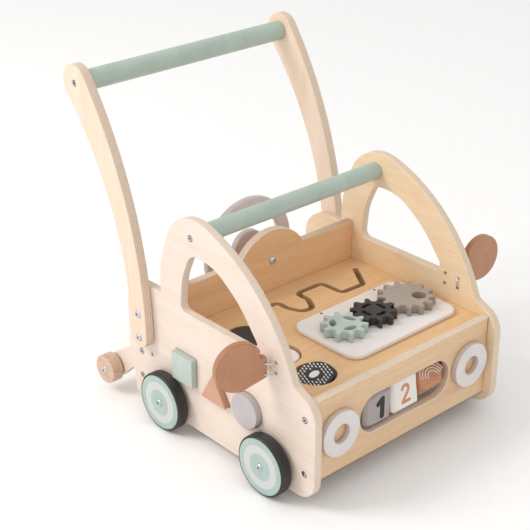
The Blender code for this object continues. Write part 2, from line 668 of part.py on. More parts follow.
def gear_train():
    """Three gears in mesh along a line. Each phase sets a tooth against a gap."""
    sage_teeth, black_teeth, taupe_teeth = 10, 10, 13
    sage_x = BLACK_GEAR_X - GEAR_MODULE * (sage_teeth + black_teeth) / 2
    taupe_x = BLACK_GEAR_X + GEAR_MODULE * (taupe_teeth + black_teeth) / 2
    black_phase = -10.0
    sage_phase = -black_phase + 180 / sage_teeth
    taupe_phase = 180 - black_phase * black_teeth / taupe_teeth + 180 / taupe_teeth
    leaves = [leaf(arc((0, 0), 0.0152, a, a, 1)[0], a + 90, 0.0205, 0.0095)
              for a in (17, 137, 257)]
    slots = [curved_slot(0.0150, a, 44, 0.0056) for a in (0, 90, 180, 270)]
    peep = [circle((0.0115, -0.0130), 0.0098, 24)]
    gear("sage", sage_x, sage_teeth, sage_phase, "pale_sage", leaves)
    gear("black", BLACK_GEAR_X, black_teeth, black_phase, "charcoal", slots)
    gear("taupe", taupe_x, taupe_teeth, taupe_phase, "taupe", peep)


# ---------------------------------------------------------------- steering wheel
def wheel_gap(start, end):
    """One opening between two spokes, whose sides are parallel to the spokes."""
    outer = math.degrees(math.asin(STEER_SPOKE / STEER_INNER_R))
    inner = math.degrees(math.asin(STEER_SPOKE / STEER_HUB_R))
    steps = round((end - start) / 12)
    rim = arc((0, 0), STEER_INNER_R, start + outer, end - outer, steps)
    hub = arc((0, 0), STEER_HUB_R, end - inner, start + inner, steps)
    return rim + hub


def steering():
    gaps = [wheel_gap(0, 180), wheel_gap(180, 270), wheel_gap(270, 360)]
    gaps.append(circle((0, 0), BOLT_R + 0.0004, 16))
    rim = arc((0, 0), STEER_R, 0, 360, 48)[:-1]
    ring = plate("steering_wheel", rim, STEER_THICK, "cloud_grey", gaps, 0.0012)
    place(ring, (STEER_X, STEER_Y + STEER_THICK, STEER_Z), FACING)
    start = BACK_PANEL_Y + PLY + GAP
    spacer = turned("steering_spacer",
                    ring_profile(BOLT_R + 0.0004, 0.0110, STEER_Y - GAP - start, 0.0008),
                    "beech", 24)
    place(spacer, (STEER_X, start, STEER_Z), (math.radians(-90), 0, 0))
    head = -BACK_PANEL_Y + GAP
    nut = -(STEER_Y + STEER_THICK)
    profile = [(0, nut - 0.0070), (0.0030, nut - 0.0064), (0.0050, nut - 0.0045),
               (0.0050, nut - GAP), (BOLT_R, nut - GAP), (BOLT_R, head), (0.0060, head),
               (0.0060, head + 0.0012), (0.0042, head + 0.0026), (0, head + 0.0028)]
    bolt = turned("steering_bolt", profile, "zinc", 16)
    place(bolt, (STEER_X, 0, STEER_Z), (math.radians(90), 0, 0))


# ------------------------------------------------------------------------ mirrors
def mirror_outline(reach, lift):
    """Paddle about the hinge axis: (outwards, up). Round blade, waist and hinge lobe. The
    edge below the waist runs straight from the lobe to the blade."""
    foot = Vector((0.0052, -0.0130))
    back = foot - Vector((reach, lift))
    start = math.atan2(back.y, back.x) + math.acos(MIRROR_R / back.length)
    blade = arc((reach, lift), MIRROR_R, math.degrees(start), 150, 22)
    return rounded([(x, y, 0) for x, y in blade] + [
        (0.0170, 0.0140, 0.0030), (0.0115, 0.0165, 0.0030), (0.0052, 0.0150, 0.0030),
        (*foot, 0.0030)])


def mirror(side, sign):
    """A mirror paddle that swings on two wire loops through the side panel."""
    hinge = bpy.data.objects.new(f"mirror_{side}_hinge", None)
    bpy.context.scene.collection.objects.link(hinge)
    heading = MIRROR_TURNS[side] if sign > 0 else 180 - MIRROR_TURNS[side]
    place(hinge, (sign * HALF_WIDTH, MIRROR_Y, MIRROR_Z), (0, 0, math.radians(heading)))
    outline = mirror_outline(*MIRROR_BLADES[side])
    paddle = plate(f"mirror_{side}", outline, MIRROR_THICK, "terracotta", (), 0.0012)
    place(paddle, (0, MIRROR_THICK / 2, 0), FACING, hinge)
    for label, rise in (("upper", MIRROR_RISE), ("lower", -MIRROR_RISE)):
        section = arc((MIRROR_LOOP, rise), WIRE_R + 0.0008, 0, 360, 8)[:-1]
        groove = turned(f"mirror_{side}_{label}_groove", section, "zinc", 24)
        place(groove, (0, 0, 0), FLAT, hinge)
        combine(paddle, groove, "DIFFERENCE")


def mirror_wire(side, sign):
    """One bent wire: end, upper loop, upright behind the panel, lower loop, end."""
    inside = INNER - WIRE_R - 0.0005
    points = []
    for rise in (MIRROR_RISE, -MIRROR_RISE):
        z = MIRROR_Z + rise
        front, rear = MIRROR_Y - MIRROR_LOOP, MIRROR_Y + MIRROR_LOOP
        loop = [(inside - 0.0012, rear, z), (HALF_WIDTH, rear, z)]
        for i in range(1, 12):
            a = math.pi * i / 12
            loop.append((HALF_WIDTH + MIRROR_LOOP * math.sin(a),
                         MIRROR_Y + MIRROR_LOOP * math.cos(a), z))
        loop += [(HALF_WIDTH, front, z), (inside, front, z)]
        points += loop if rise > 0 else loop[::-1]
    curve = bpy.data.curves.new(f"mirror_wire_{side}", "CURVE")
    curve.dimensions = "3D"
    curve.bevel_depth = WIRE_R
    curve.bevel_resolution = 1
    curve.use_fill_caps = True
    spline = curve.splines.new("POLY")
    spline.points.add(len(points) - 1)
    for point, (x, y, z) in zip(spline.points, points):
        point.co = (sign * x, y, z, 1)
    curve.materials.append(material("zinc"))
    wire = bpy.data.objects.new(f"mirror_wire_{side}", curve)
    bpy.context.scene.collection.objects.link(wire)


# ------------------------------------------------------------------ sorter blocks
def sorter_block(shape, colour):
    block = plate(f"block_{shape}", block_outline(shape), PLY + BLOCK_PROUD, colour, (), 0.0012)
    place(block, (-HALF_WIDTH - BLOCK_PROUD, 0, 0), ACROSS)


# -------------------------------------------------------------------------- build
def clear_scene():
    for obj in list(bpy.data.objects):
        bpy.data.objects.remove(obj, do_unlink=True)


def build():
    clear_scene()
    side_panel("left", -1, ("square", "triangle", "round"))
    side_panel("right", 1, ())
    front_panel()
    back_panel()
    rear_rail()
    tray()
    dowels()
    for side, sign in (("left", -1), ("right", 1)):
        push_arm(side, sign)
        for label, rise in (("lower", 0.0), ("upper", ARM_BOLT_RISE)):
            side_bolt(f"arm_bolt_{label}_{side}", sign, ARM_FOOT_Y, ARM_FOOT_Z + rise,
                      INNER - 0.006, HALF_WIDTH + GAP + ARM_THICK + GAP)
        wheel("front", side, sign)
        wheel("rear", side, sign)
        roller(side, sign)
        headlight_ring(side, sign)
        mirror(side, sign)
        mirror_wire(side, sign)
    number_cube("one", -1)
    number_cube("two", 0)
    number_cube("three", 1)
    cube_rod()
    for name in FLIP_YS:
        flip_disc(name)
    flip_rod()
    gear_board()
    gear_train()
    steering()
    sorter_block("square", "pale_sage")
    sorter_block("triangle", "blush")
    sorter_block("round", "cloud_grey")


build()
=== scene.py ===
"""Looks of a wooden push walker for a toddler, shaped like a small car.

Metres throughout, in the frame of the loaded model: +Z up, the front faces -Y, left is -X.
"""

import math

import bmesh
import bpy
from mathutils import Matrix, Vector


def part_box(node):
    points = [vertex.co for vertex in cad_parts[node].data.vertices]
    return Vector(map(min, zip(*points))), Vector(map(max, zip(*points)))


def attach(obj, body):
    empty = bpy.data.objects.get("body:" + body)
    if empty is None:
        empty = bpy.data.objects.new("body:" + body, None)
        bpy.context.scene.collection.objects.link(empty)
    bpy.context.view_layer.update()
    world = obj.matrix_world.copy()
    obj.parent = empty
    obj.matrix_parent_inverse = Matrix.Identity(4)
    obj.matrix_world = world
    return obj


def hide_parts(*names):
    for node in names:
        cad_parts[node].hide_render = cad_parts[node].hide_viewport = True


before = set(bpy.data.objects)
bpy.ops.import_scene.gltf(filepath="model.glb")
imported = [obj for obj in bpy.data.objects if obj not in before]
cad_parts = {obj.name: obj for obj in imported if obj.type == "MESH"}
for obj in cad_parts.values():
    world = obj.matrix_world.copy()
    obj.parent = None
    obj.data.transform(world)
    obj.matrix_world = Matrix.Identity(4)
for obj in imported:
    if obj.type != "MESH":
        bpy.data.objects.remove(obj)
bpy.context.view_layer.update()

# ------------------------------------------------------------- sizes of the real thing
PLY = 0.012                  # birch plywood, nine layers
LAYER = PLY / 9
ROUND_OVER = 0.0011          # sanded round-over on every sawn edge
SCREW_HEAD = 0.0034          # countersunk screw head
SCREW_HOLE = 0.0045          # the counterbore it sits in
PRINT = 0.00015              # thickness of a printed layer of ink
OVERLAP = 0.00004            # how far one stroke of ink lies above another
SHANK, BOLT_HOLE = 0.0031, 0.0035          # radius of every bolt, and of its hole
STEERING_HOLE = 0.0034       # bore of the steering wheel, its spacer and the back panel
SPARE_HOLE = (0.0845, 0.0905, 0.00275)     # open hole in each side: y, z, radius
WIRE, WIRE_HOLE = 0.0011, 0.0019           # radius of the mirror wire, and of its holes
HEAD_RISE = 0.0029           # how far a bolt's domed head stands out of its seat
COLLAR_START = 0.1753        # the bolt collars begin just clear of the side panel
WHEEL_COLLAR, ROLLER_COLLAR = (0.0070, 0.1792), (0.0060, 0.1769)   # radius, end
RING_INNER, RING_OUTER = 0.0190, 0.0300    # the grey ring printed on each wheel
ARM_FOOT, ARM_HEAD = 0.0158, 0.0255        # half the width of a push arm at its ends

# local (u, v, w) of a flat piece to the world: w points along +X, along -Y, or up
ACROSS = Matrix(((0, 0, 1, 0), (1, 0, 0, 0), (0, 1, 0, 0), (0, 0, 0, 1)))
FACING = Matrix(((1, 0, 0, 0), (0, 0, -1, 0), (0, 1, 0, 0), (0, 0, 0, 1)))
FLAT = Matrix.Identity(4)
SIDES = (("left", -1), ("right", 1))


def middle(name):
    low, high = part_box(name)
    return (low + high) / 2


def at(x, y, z):
    return Matrix.Translation((x, y, z))


# ------------------------------------------------------------------------ materials
def linear(hex_colour):
    """An sRGB hex colour as linear RGBA."""
    value = hex_colour.lstrip("#")
    channels = [int(value[i:i + 2], 16) / 255 for i in (0, 2, 4)]
    lit = [c / 12.92 if c <= 0.04045 else ((c + 0.055) / 1.055) ** 2.4 for c in channels]
    return (*lit, 1.0)


def feed(tree, node, inputs):
    """Sets a node's inputs. Each is a value, a socket to link from, or a node whose first
    output is meant."""
    for name, value in inputs.items():
        if isinstance(value, bpy.types.Node):
            value = value.outputs[0]
        if isinstance(value, bpy.types.NodeSocket):
            tree.links.new(value, node.inputs[name])
        else:
            node.inputs[name].default_value = value


def add(tree, kind, inputs=None, **settings):
    """Adds a node with its inputs. Stops are the positions and colours of a ramp."""
    made = tree.nodes.new(kind)
    stops = settings.pop("stops", None)
    for name, value in settings.items():
        setattr(made, name, value)
    feed(tree, made, inputs or {})
    if stops:
        elements = made.color_ramp.elements
        while len(elements) > len(stops):
            elements.remove(elements[-1])
        while len(elements) < len(stops):
            elements.new(1.0)
        for element, (position, colour) in zip(elements, stops):
            element.position, element.color = position, colour
    return made


def new_material(name):
    """A material, its tree and shader, and the object's own coordinates in metres."""
    made = bpy.data.materials.new(name)
    made.use_nodes = True
    tree = made.node_tree
    here = add(tree, "ShaderNodeTexCoord").outputs["Object"]
    return made, tree, tree.nodes["Principled BSDF"], here


def sawn_layers(tree, stops):
    """Colour of a sawn edge: stops across one pair of plies, repeated through the sheet."""
    depth = add(tree, "ShaderNodeAttribute", attribute_name="depth")
    count = add(tree, "ShaderNodeMath", {0: depth.outputs["Fac"], 1: 0.5 / LAYER},
        operation="MULTIPLY")
    turn = add(tree, "ShaderNodeMath", {0: count}, operation="FRACT")
    return add(tree, "ShaderNodeValToRGB", {"Fac": turn}, stops=stops)


BLACK, WHITE = (0.0, 0.0, 0.0, 1.0), (1.0, 1.0, 1.0, 1.0)
GRAIN = {"x": (1.0, 14.0, 14.0), "y": (14.0, 1.0, 14.0), "z": (14.0, 14.0, 1.0)}


def birch_ply(name, face, figure, sawn, glue, grain):
    """Rotary-cut birch plywood, clear matt lacquer: pale face with a soft wavy figure and
    fine short fibres along the grain, and a sawn edge that shows its thin layers."""
    made, tree, shader, here = new_material(name)
    # figure: bands about 25 mm wide that wander over some 300 mm
    broad = add(tree, "ShaderNodeMapping", {"Vector": here,
        "Scale": tuple(3.2 * v for v in GRAIN[grain])})
    wander = add(tree, "ShaderNodeTexNoise", {"Vector": broad, "Scale": 1.0, "Detail": 4.0,
        "Roughness": 0.55, "Distortion": 1.1})
    soft = add(tree, "ShaderNodeValToRGB", {"Fac": wander}, stops=[(0.36, BLACK), (0.70, WHITE)])
    # fibres: about 1.5 mm wide and 40 mm long, coarser than real so that they show
    fine = add(tree, "ShaderNodeMapping", {"Vector": here,
        "Scale": tuple(26.0 * v for v in GRAIN[grain])})
    fibre = add(tree, "ShaderNodeTexNoise", {"Vector": fine, "Scale": 1.6, "Detail": 5.0,
        "Roughness": 0.65})
    streak = add(tree, "ShaderNodeValToRGB", {"Fac": fibre}, stops=[(0.40, BLACK), (0.62, WHITE)])
    worth = add(tree, "ShaderNodeMath", {0: soft, 1: 0.62}, operation="MULTIPLY")
    amount = add(tree, "ShaderNodeMath", {0: streak, 1: 0.38, 2: worth}, operation="MULTIPLY_ADD")
    veneer = add(tree, "ShaderNodeMix", {"Factor": amount, 6: linear(face), 7: linear(figure)},
        data_type="RGBA")
    # sawn edge: layers 1.3 mm thick, every other one end grain and darker
    layers = sawn_layers(tree, [(0.0, linear(sawn)), (0.44, linear(sawn)), (0.50, linear(glue)),
        (0.94, linear(glue)), (1.0, linear(sawn))])
    flecks = add(tree, "ShaderNodeTexNoise", {"Vector": fine, "Scale": 2.5, "Detail": 3.0})
    speck = add(tree, "ShaderNodeValToRGB", {"Fac": flecks},
        stops=[(0.35, linear("#f1ece6")), (0.65, linear("#ffffff"))])
    edge = add(tree, "ShaderNodeMix", {"Factor": 1.0, 6: layers, 7: speck}, data_type="RGBA",
        blend_type="MULTIPLY")
    cut = add(tree, "ShaderNodeAttribute", attribute_name="cut")
    skin = add(tree, "ShaderNodeMix", {"Factor": cut.outputs["Fac"], 6: veneer.outputs[2],
        7: edge.outputs[2]}, data_type="RGBA")
    gloss = add(tree, "ShaderNodeMapRange", {"Value": fibre, "To Min": 0.42, "To Max": 0.58})
    relief = add(tree, "ShaderNodeBump", {"Height": fibre, "Strength": 0.22, "Distance": 0.0004})
    feed(tree, shader, {"Base Color": skin.outputs[2], "Roughness": gloss, "Normal": relief,
        "Coat Weight": 0.12, "Coat Roughness": 0.32})
    return made


def painted_wood(name, colour, shade, sawn, roughness=0.42, bands=None):
    """Water-based paint sprayed on sanded wood: even satin colour with a faint mottle, the
    grain just felt through it, and a drier, duller sawn edge. Bands are printed rings."""
    made, tree, shader, here = new_material(name)
    mottle = add(tree, "ShaderNodeTexNoise", {"Vector": here, "Scale": 38.0,
        "Detail": 4.0, "Roughness": 0.6})
    spread = add(tree, "ShaderNodeValToRGB", {"Fac": mottle},
        stops=[(0.32, linear(colour)), (0.72, linear(shade))])
    colour_out = spread.outputs["Color"]
    if bands:
        radius = add(tree, "ShaderNodeAttribute", attribute_name="radius")
        inner, outer, band = bands
        above = add(tree, "ShaderNodeMath", {0: radius.outputs["Fac"], 1: inner},
            operation="GREATER_THAN")
        below = add(tree, "ShaderNodeMath", {0: radius.outputs["Fac"], 1: outer},
            operation="LESS_THAN")
        within = add(tree, "ShaderNodeMath", {0: above, 1: below}, operation="MULTIPLY")
        ringed = add(tree, "ShaderNodeMix", {"Factor": within, 6: colour_out, 7: linear(band)},
            data_type="RGBA")
        colour_out = ringed.outputs[2]
    dry = sawn_layers(tree, [(0.0, linear(sawn)), (0.42, linear(sawn)), (0.5, linear(shade)),
        (0.92, linear(shade)), (1.0, linear(sawn))])
    cut = add(tree, "ShaderNodeAttribute", attribute_name="cut")
    share = add(tree, "ShaderNodeMath", {0: cut.outputs["Fac"], 1: 0.75}, operation="MULTIPLY")
    skin = add(tree, "ShaderNodeMix", {"Factor": share, 6: colour_out, 7: dry}, data_type="RGBA")
    # brush and grain texture about 1 mm across
    peel = add(tree, "ShaderNodeTexNoise", {"Vector": here, "Scale": 900.0,
        "Detail": 2.0})
    gloss = add(tree, "ShaderNodeMapRange", {"Value": mottle, "To Min": roughness - 0.07,
        "To Max": roughness + 0.09})
    relief = add(tree, "ShaderNodeBump", {"Height": peel, "Strength": 0.16, "Distance": 0.0003})
    feed(tree, shader, {"Base Color": skin.outputs[2], "Roughness": gloss, "Normal": relief})
    return made


def turned_beech(name, light, dark):
    """Lacquered beech, turned: pinkish, close grain with short dark ray flecks."""
    made, tree, shader, here = new_material(name)
    long = add(tree, "ShaderNodeMapping", {"Vector": here,
        "Scale": (120.0, 45.0, 420.0)})
    grain = add(tree, "ShaderNodeTexNoise", {"Vector": long, "Scale": 1.0, "Detail": 4.0,
        "Distortion": 0.5})
    tone = add(tree, "ShaderNodeValToRGB", {"Fac": grain},
        stops=[(0.34, linear(light)), (0.68, linear(dark))])
    # ray flecks, 2 mm long
    ray = add(tree, "ShaderNodeMapping", {"Vector": here,
        "Scale": (900.0, 900.0, 260.0)})
    fleck = add(tree, "ShaderNodeTexVoronoi", {"Vector": ray, "Scale": 1.0})
    dots = add(tree, "ShaderNodeValToRGB", {"Fac": fleck},
        stops=[(0.10, linear("#b98d72")), (0.30, linear("#ffffff"))])
    skin = add(tree, "ShaderNodeMix", {"Factor": 0.55, 6: tone, 7: dots}, data_type="RGBA",
        blend_type="MULTIPLY")
    relief = add(tree, "ShaderNodeBump", {"Height": grain, "Strength": 0.2, "Distance": 0.0003})
    feed(tree, shader, {"Base Color": skin.outputs[2], "Normal": relief, "Roughness": 0.46,
        "Coat Weight": 0.1, "Coat Roughness": 0.3})
    return made


def moulded_rubber(name):
    """Black rubber band, moulded: matt, with a fine tooth and a dusty bloom on its rim."""
    made, tree, shader, here = new_material(name)
    bloom = add(tree, "ShaderNodeTexNoise", {"Vector": here, "Scale": 55.0,
        "Detail": 6.0, "Roughness": 0.7})
    tone = add(tree, "ShaderNodeValToRGB", {"Fac": bloom},
        stops=[(0.35, linear("#1d1b1b")), (0.75, linear("#2e2c2b"))])
    tooth = add(tree, "ShaderNodeTexNoise", {"Vector": here, "Scale": 1500.0,
        "Detail": 2.0})
    relief = add(tree, "ShaderNodeBump", {"Height": tooth, "Strength": 0.3, "Distance": 0.0003})
    feed(tree, shader, {"Base Color": tone, "Normal": relief, "Roughness": 0.44, "IOR": 1.52})
    return made


def plated_steel(name, bright, dull, roughness):
    """Zinc-plated steel, cold headed: bright, slightly blue and cloudy, finely scuffed."""
    made, tree, shader, here = new_material(name)
    cloud = add(tree, "ShaderNodeTexNoise", {"Vector": here, "Scale": 300.0,
        "Detail": 5.0})
    tone = add(tree, "ShaderNodeValToRGB", {"Fac": cloud},
        stops=[(0.35, linear(bright)), (0.7, linear(dull))])
    gloss = add(tree, "ShaderNodeMapRange", {"Value": cloud, "To Min": roughness - 0.06,
        "To Max": roughness + 0.12})
    feed(tree, shader, {"Base Color": tone, "Roughness": gloss, "Metallic": 1.0})
    return made


def screen_ink(name, colour, shade):
    """Screen-printed ink: dense and matt, a little thin where the mesh left it."""
    made, tree, shader, here = new_material(name)
    mesh = add(tree, "ShaderNodeTexNoise", {"Vector": here, "Scale": 700.0,
        "Detail": 2.0})
    tone = add(tree, "ShaderNodeValToRGB", {"Fac": mesh},
        stops=[(0.4, linear(colour)), (0.72, linear(shade))])
    feed(tree, shader, {"Base Color": tone, "Roughness": 0.55})
    return made


birch_along_y = birch_ply("birch_plywood_lacquered_side", "#e9dace", "#e0ccbb", "#e6d6c7",
    "#dcc8b4", "y")
# the right panel's birch: a warmer, yellower copy of the side birch, painted warm light from
# inside the body
birch_side_painted_warm_light = birch_ply("birch_plywood_right_panel_with_painted_warm_light", "#efd9ba", "#e4c69c", "#e4d4c0",
    "#d8c2a8", "y")
birch_along_z = birch_ply("birch_plywood_lacquered_arm", "#ecd7c4", "#e2c6ab", "#e4d2c0",
    "#d6c0a9", "z")
birch_along_x = birch_ply("birch_plywood_lacquered_inner", "#dfc09c", "#d0aa80", "#e6d6c6",
    "#d8c2ac", "x")
birch_tray = birch_ply("birch_plywood_lacquered_tray", "#e6c192", "#d7aa78", "#c9a67e", "#b08c64",
    "x")
birch_back = birch_ply("birch_plywood_lacquered_back", "#e8bf94", "#d9a878", "#e6d4c2", "#d6bea6",
    "x")
sage_paint = painted_wood("sage_paint_on_dowel", "#aebdb2", "#a3b3a7", "#a7b6ab", 0.4)
pale_sage_paint = painted_wood("pale_sage_paint_on_ply", "#bcc8c0", "#b0bdb5", "#a6b3aa")
wheel_paint = painted_wood("pale_sage_paint_with_grey_ring", "#abbfb6", "#a0b4ab", "#9aada4", 0.4,
    (RING_INNER, RING_OUTER, "#c8c9cc"))
cloud_paint = painted_wood("cloud_grey_paint_on_ply", "#d3cdcd", "#c9c2c3", "#b9a798")
ring_paint = painted_wood("cloud_white_paint_on_ply", "#dcd6d4", "#d3ccca", "#bda894")
cube_grey_paint = painted_wood("stone_grey_paint_on_block", "#a7a09c", "#9c9591", "#8f8782")
white_paint = painted_wood("warm_white_paint_on_ply", "#e9e2dd", "#e0d8d2", "#dccabd")
board_paint = painted_wood("chalk_white_paint_on_ply", "#ece5e1", "#e4dcd7", "#dccabd")
pebble_paint = painted_wood("pebble_grey_paint_on_ply", "#bdb7b7", "#b3adad", "#a79c94")
terracotta_paint = painted_wood("terracotta_paint_on_block", "#c0845e", "#b27650", "#a06c4c", 0.32)
mirror_paint = painted_wood("terracotta_paint_on_ply", "#b58262", "#ab7858", "#a06c4c", 0.34)
blush_paint = painted_wood("blush_paint_on_ply", "#cc9d82", "#c29277", "#b07d62")
charcoal_paint = painted_wood("charcoal_paint_on_ply", "#33302d", "#2a2725", "#2f2b28", 0.5)
taupe_paint = painted_wood("taupe_paint_on_ply", "#a99c90", "#9e9184", "#8c7f72")
beech = turned_beech("beech_turned_lacquered", "#d6b8a2", "#c29f86")
rubber = moulded_rubber("rubber_band_moulded")
zinc = plated_steel("steel_zinc_plated", "#d5d9df", "#b4bac4", 0.24)
# black oxide steel for the board screws; the same dark steel is also the painted shade plugged
# into the panel counterbores
black_oxide_and_painted_shade = plated_steel("black_oxide_steel_and_painted_shade", "#4a4a4c", "#39393b", 0.38)
black_ink = screen_ink("ink_black_screen_printed", "#1e1c1b", "#2a2826")
white_ink = screen_ink("ink_white_screen_printed", "#e8e4e2", "#d9d4d1")
terracotta_ink = screen_ink("ink_terracotta_screen_printed", "#c98c62", "#bd8058")


# ---------------------------------------------------------------------- flat outlines
def arc(centre, radius, start, end, steps):
    points = []
    for i in range(steps + 1):
        a = math.radians(start + (end - start) * i / steps)
        points.append((centre[0] + radius * math.cos(a), centre[1] + radius * math.sin(a)))
    return points


def circle(centre, radius, steps=48):
    return arc(centre, radius, 0, 360, steps)[:-1]


def rounded(corners):
    """An outline from corners (u, v, radius): each corner becomes a tangent arc."""
    points = []
    count = len(corners)
    for i in range(count):
        here = Vector(corners[i][:2])
        before = (Vector(corners[i - 1][:2]) - here).normalized()
        after = (Vector(corners[(i + 1) % count][:2]) - here).normalized()
        radius = corners[i][2]
        if radius <= 0:
            points.append(tuple(here))
            continue
        opening = before.angle(after)
        reach = radius / math.tan(opening / 2)
        centre = here + (before + after).normalized() * radius / math.sin(opening / 2)
        start, end = here + before * reach - centre, here + after * reach - centre
        a0 = math.atan2(start.y, start.x)
        turn = (math.atan2(end.y, end.x) - a0 + math.pi) % (2 * math.pi) - math.pi
        steps = max(4, round(abs(turn) / math.radians(6)), round(abs(turn) * radius / 0.006))
        for k in range(steps + 1):
            a = a0 + turn * k / steps
            points.append((centre.x + radius * math.cos(a), centre.y + radius * math.sin(a)))
    return points


def anticlockwise(points):
    pairs = zip(points, points[1:] + points[:1])
    area = sum(x0 * y1 - x1 * y0 for (x0, y0), (x1, y1) in pairs)
    return points if area > 0 else points[::-1]


def inset(points, distance):
    """The outline moved to its left by a distance."""
    moved = []
    count = len(points)
    for i in range(count):
        before = (Vector(points[i]) - Vector(points[i - 1])).normalized()
        after = (Vector(points[(i + 1) % count]) - Vector(points[i])).normalized()
        n0, n1 = Vector((-before.y, before.x)), Vector((-after.y, after.x))
        bisector = (n0 + n1).normalized()
        moved.append(tuple(Vector(points[i]) + bisector * distance / max(0.5, bisector.dot(n0))))
    return moved


def slot_outline(path, width):
    """A slot of even width along an open path, with half-round ends."""
    left, right = [], []
    for i, point in enumerate(path):
        along = (Vector(path[min(i + 1, len(path) - 1)]) - Vector(path[max(i - 1, 0)]))
        along.normalize()
        normal = Vector((-along.y, along.x)) * width / 2
        left.append(tuple(Vector(point) + normal))
        right.append(tuple(Vector(point) - normal))
    caps = []
    for end, side in ((path[-1], left[-1]), (path[0], right[0])):
        a = math.degrees(math.atan2(side[1] - end[1], side[0] - end[0]))
        caps.append(arc(end, width / 2, a, a - 180, 12)[1:-1])
    return left + caps[0] + right[::-1] + caps[1]


# --------------------------------------------------------------------- solid makers
def in_scene(name, data):
    """A new object that holds the data and is linked to the scene."""
    made = bpy.data.objects.new(name, data)
    bpy.context.scene.collection.objects.link(made)
    return made


def to_object(name, bm, finish, matrix, smooth_angle=None):
    mesh = bpy.data.meshes.new(name)
    bmesh.ops.recalc_face_normals(bm, faces=bm.faces)
    bm.to_mesh(mesh)
    bm.free()
    mesh.transform(matrix)
    mesh.materials.append(finish)
    if smooth_angle:
        mesh.shade_smooth()
        mesh.set_sharp_from_angle(angle=math.radians(smooth_angle))
    return in_scene(name, mesh)


def cut_sheet(name, outline, thickness, finish, matrix, holes=(), ease=ROUND_OVER, steps=3):
    """A piece sawn from sheet with its edges rounded over. Each point keeps its depth in the
    sheet, and each sawn face is marked, so a finish can tell face from edge."""
    loops = [anticlockwise(list(outline))]
    loops += [anticlockwise(list(hole))[::-1] for hole in holes]
    quarter = [math.pi / 2 * k / steps for k in range(steps + 1)]
    low = [(ease * (1 - math.cos(a)), ease * (1 - math.sin(a))) for a in quarter]
    levels = low + [(thickness - z, back) for z, back in low[::-1]]
    bm = bmesh.new()
    depth = bm.verts.layers.float.new("depth")
    cut = bm.faces.layers.float.new("cut")
    caps = ([], [])
    for loop in loops:
        rings = []
        for height, back in levels:
            ring = []
            for u, v in (inset(loop, back) if back > 1e-9 else loop):
                corner = bm.verts.new((u, v, height))
                corner[depth] = height
                ring.append(corner)
            rings.append(ring)
        for level, (lower, upper) in enumerate(zip(rings, rings[1:])):
            # the rounding next to a face is still that face's own veneer
            veneer = level in (0, len(rings) - 2)
            for i in range(len(lower)):
                j = (i + 1) % len(lower)
                side = bm.faces.new((lower[i], lower[j], upper[j], upper[i]))
                side[cut] = 0.0 if veneer else 1.0
                side.smooth = True
        for cap, ring in zip(caps, (rings[0], rings[-1])):
            cap += [bm.edges.get(pair) for pair in zip(ring, ring[1:] + ring[:1])]
    for edges in caps:
        bmesh.ops.triangle_fill(bm, edges=edges, use_beauty=True)
        for edge in edges:
            edge.smooth = False
    return to_object(name, bm, finish, matrix)


def rounded_profile(points, radius, steps=4):
    """A turned profile (radius, height) whose corners are rounded over. Points on the axis
    and the two ends stay sharp."""
    result = [points[0]]
    for i in range(1, len(points) - 1):
        here = Vector(points[i])
        back, ahead = Vector(points[i - 1]) - here, Vector(points[i + 1]) - here
        reach = min(radius, back.length * 0.45, ahead.length * 0.45)
        start, end = here + back.normalized() * reach, here + ahead.normalized() * reach
        for k in range(steps + 1):
            t = k / steps
            result.append(tuple(start * (1 - t) ** 2 + here * 2 * t * (1 - t) + end * t * t))
    result.append(points[-1])
    return result


def turn_piece(name, profile, finish, matrix, steps=72, closed=False, smooth_angle=40):
    """A turned piece about local Z from (radius, height) points, low end first. Each point
    keeps its distance from the axis for the finish to read."""
    bm = bmesh.new()
    distance = bm.verts.layers.float.new("radius")
    depth = bm.verts.layers.float.new("depth")
    cut = bm.faces.layers.float.new("cut")
    level = 0.03 * (max(h for _, h in profile) - min(h for _, h in profile))
    rings = []
    for r, h in profile:
        count = 1 if r < 1e-7 else steps
        ring = []
        for k in range(count):
            a = 2 * math.pi * k / steps
            point = bm.verts.new((r * math.cos(a), r * math.sin(a), h))
            point[distance], point[depth] = r, h
            ring.append(point)
        rings.append(ring)
    pairs = list(zip(rings, rings[1:]))
    if closed:
        pairs.append((rings[-1], rings[0]))
    for lower, upper in pairs:
        flat = abs(lower[0].co.z - upper[0].co.z) < level
        for k in range(steps):
            j = (k + 1) % steps
            corners = [lower[k % len(lower)], lower[j % len(lower)], upper[j % len(upper)],
                upper[k % len(upper)]]
            unique = list(dict.fromkeys(corners))
            if len(unique) > 2:
                face = bm.faces.new(unique)
                face[cut] = 0.0 if flat else 1.0
    return to_object(name, bm, finish, matrix, smooth_angle)


def stack(name, loops, finish, matrix, smooth_angle=30):
    """Loops of equal count stacked along local Z and skinned, closed at both ends. A loop is
    (radius, height, is_hexagon)."""
    count = 36
    bm = bmesh.new()
    rings = []
    for radius, height, hexagon in loops:
        ring = []
        for k in range(count):
            a = 2 * math.pi * k / count
            fold = math.radians(30)
            r = radius
            if hexagon:
                r *= math.cos(fold) / math.cos(a % (2 * fold) - fold)
            ring.append(bm.verts.new((r * math.cos(a), r * math.sin(a), height)))
        rings.append(ring)
    for lower, upper in zip(rings, rings[1:]):
        for k in range(count):
            j = (k + 1) % count
            bm.faces.new((lower[k], lower[j], upper[j], upper[k]))
    bm.faces.new(rings[0][::-1])
    bm.faces.new(rings[-1])
    return to_object(name, bm, finish, matrix, smooth_angle)


def place(piece, body, slot, *nodes):
    """The piece rides on a body and stands for its CAD nodes. The slot is not used."""
    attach(piece, body)
    if nodes:
        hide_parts(*nodes)
    return piece


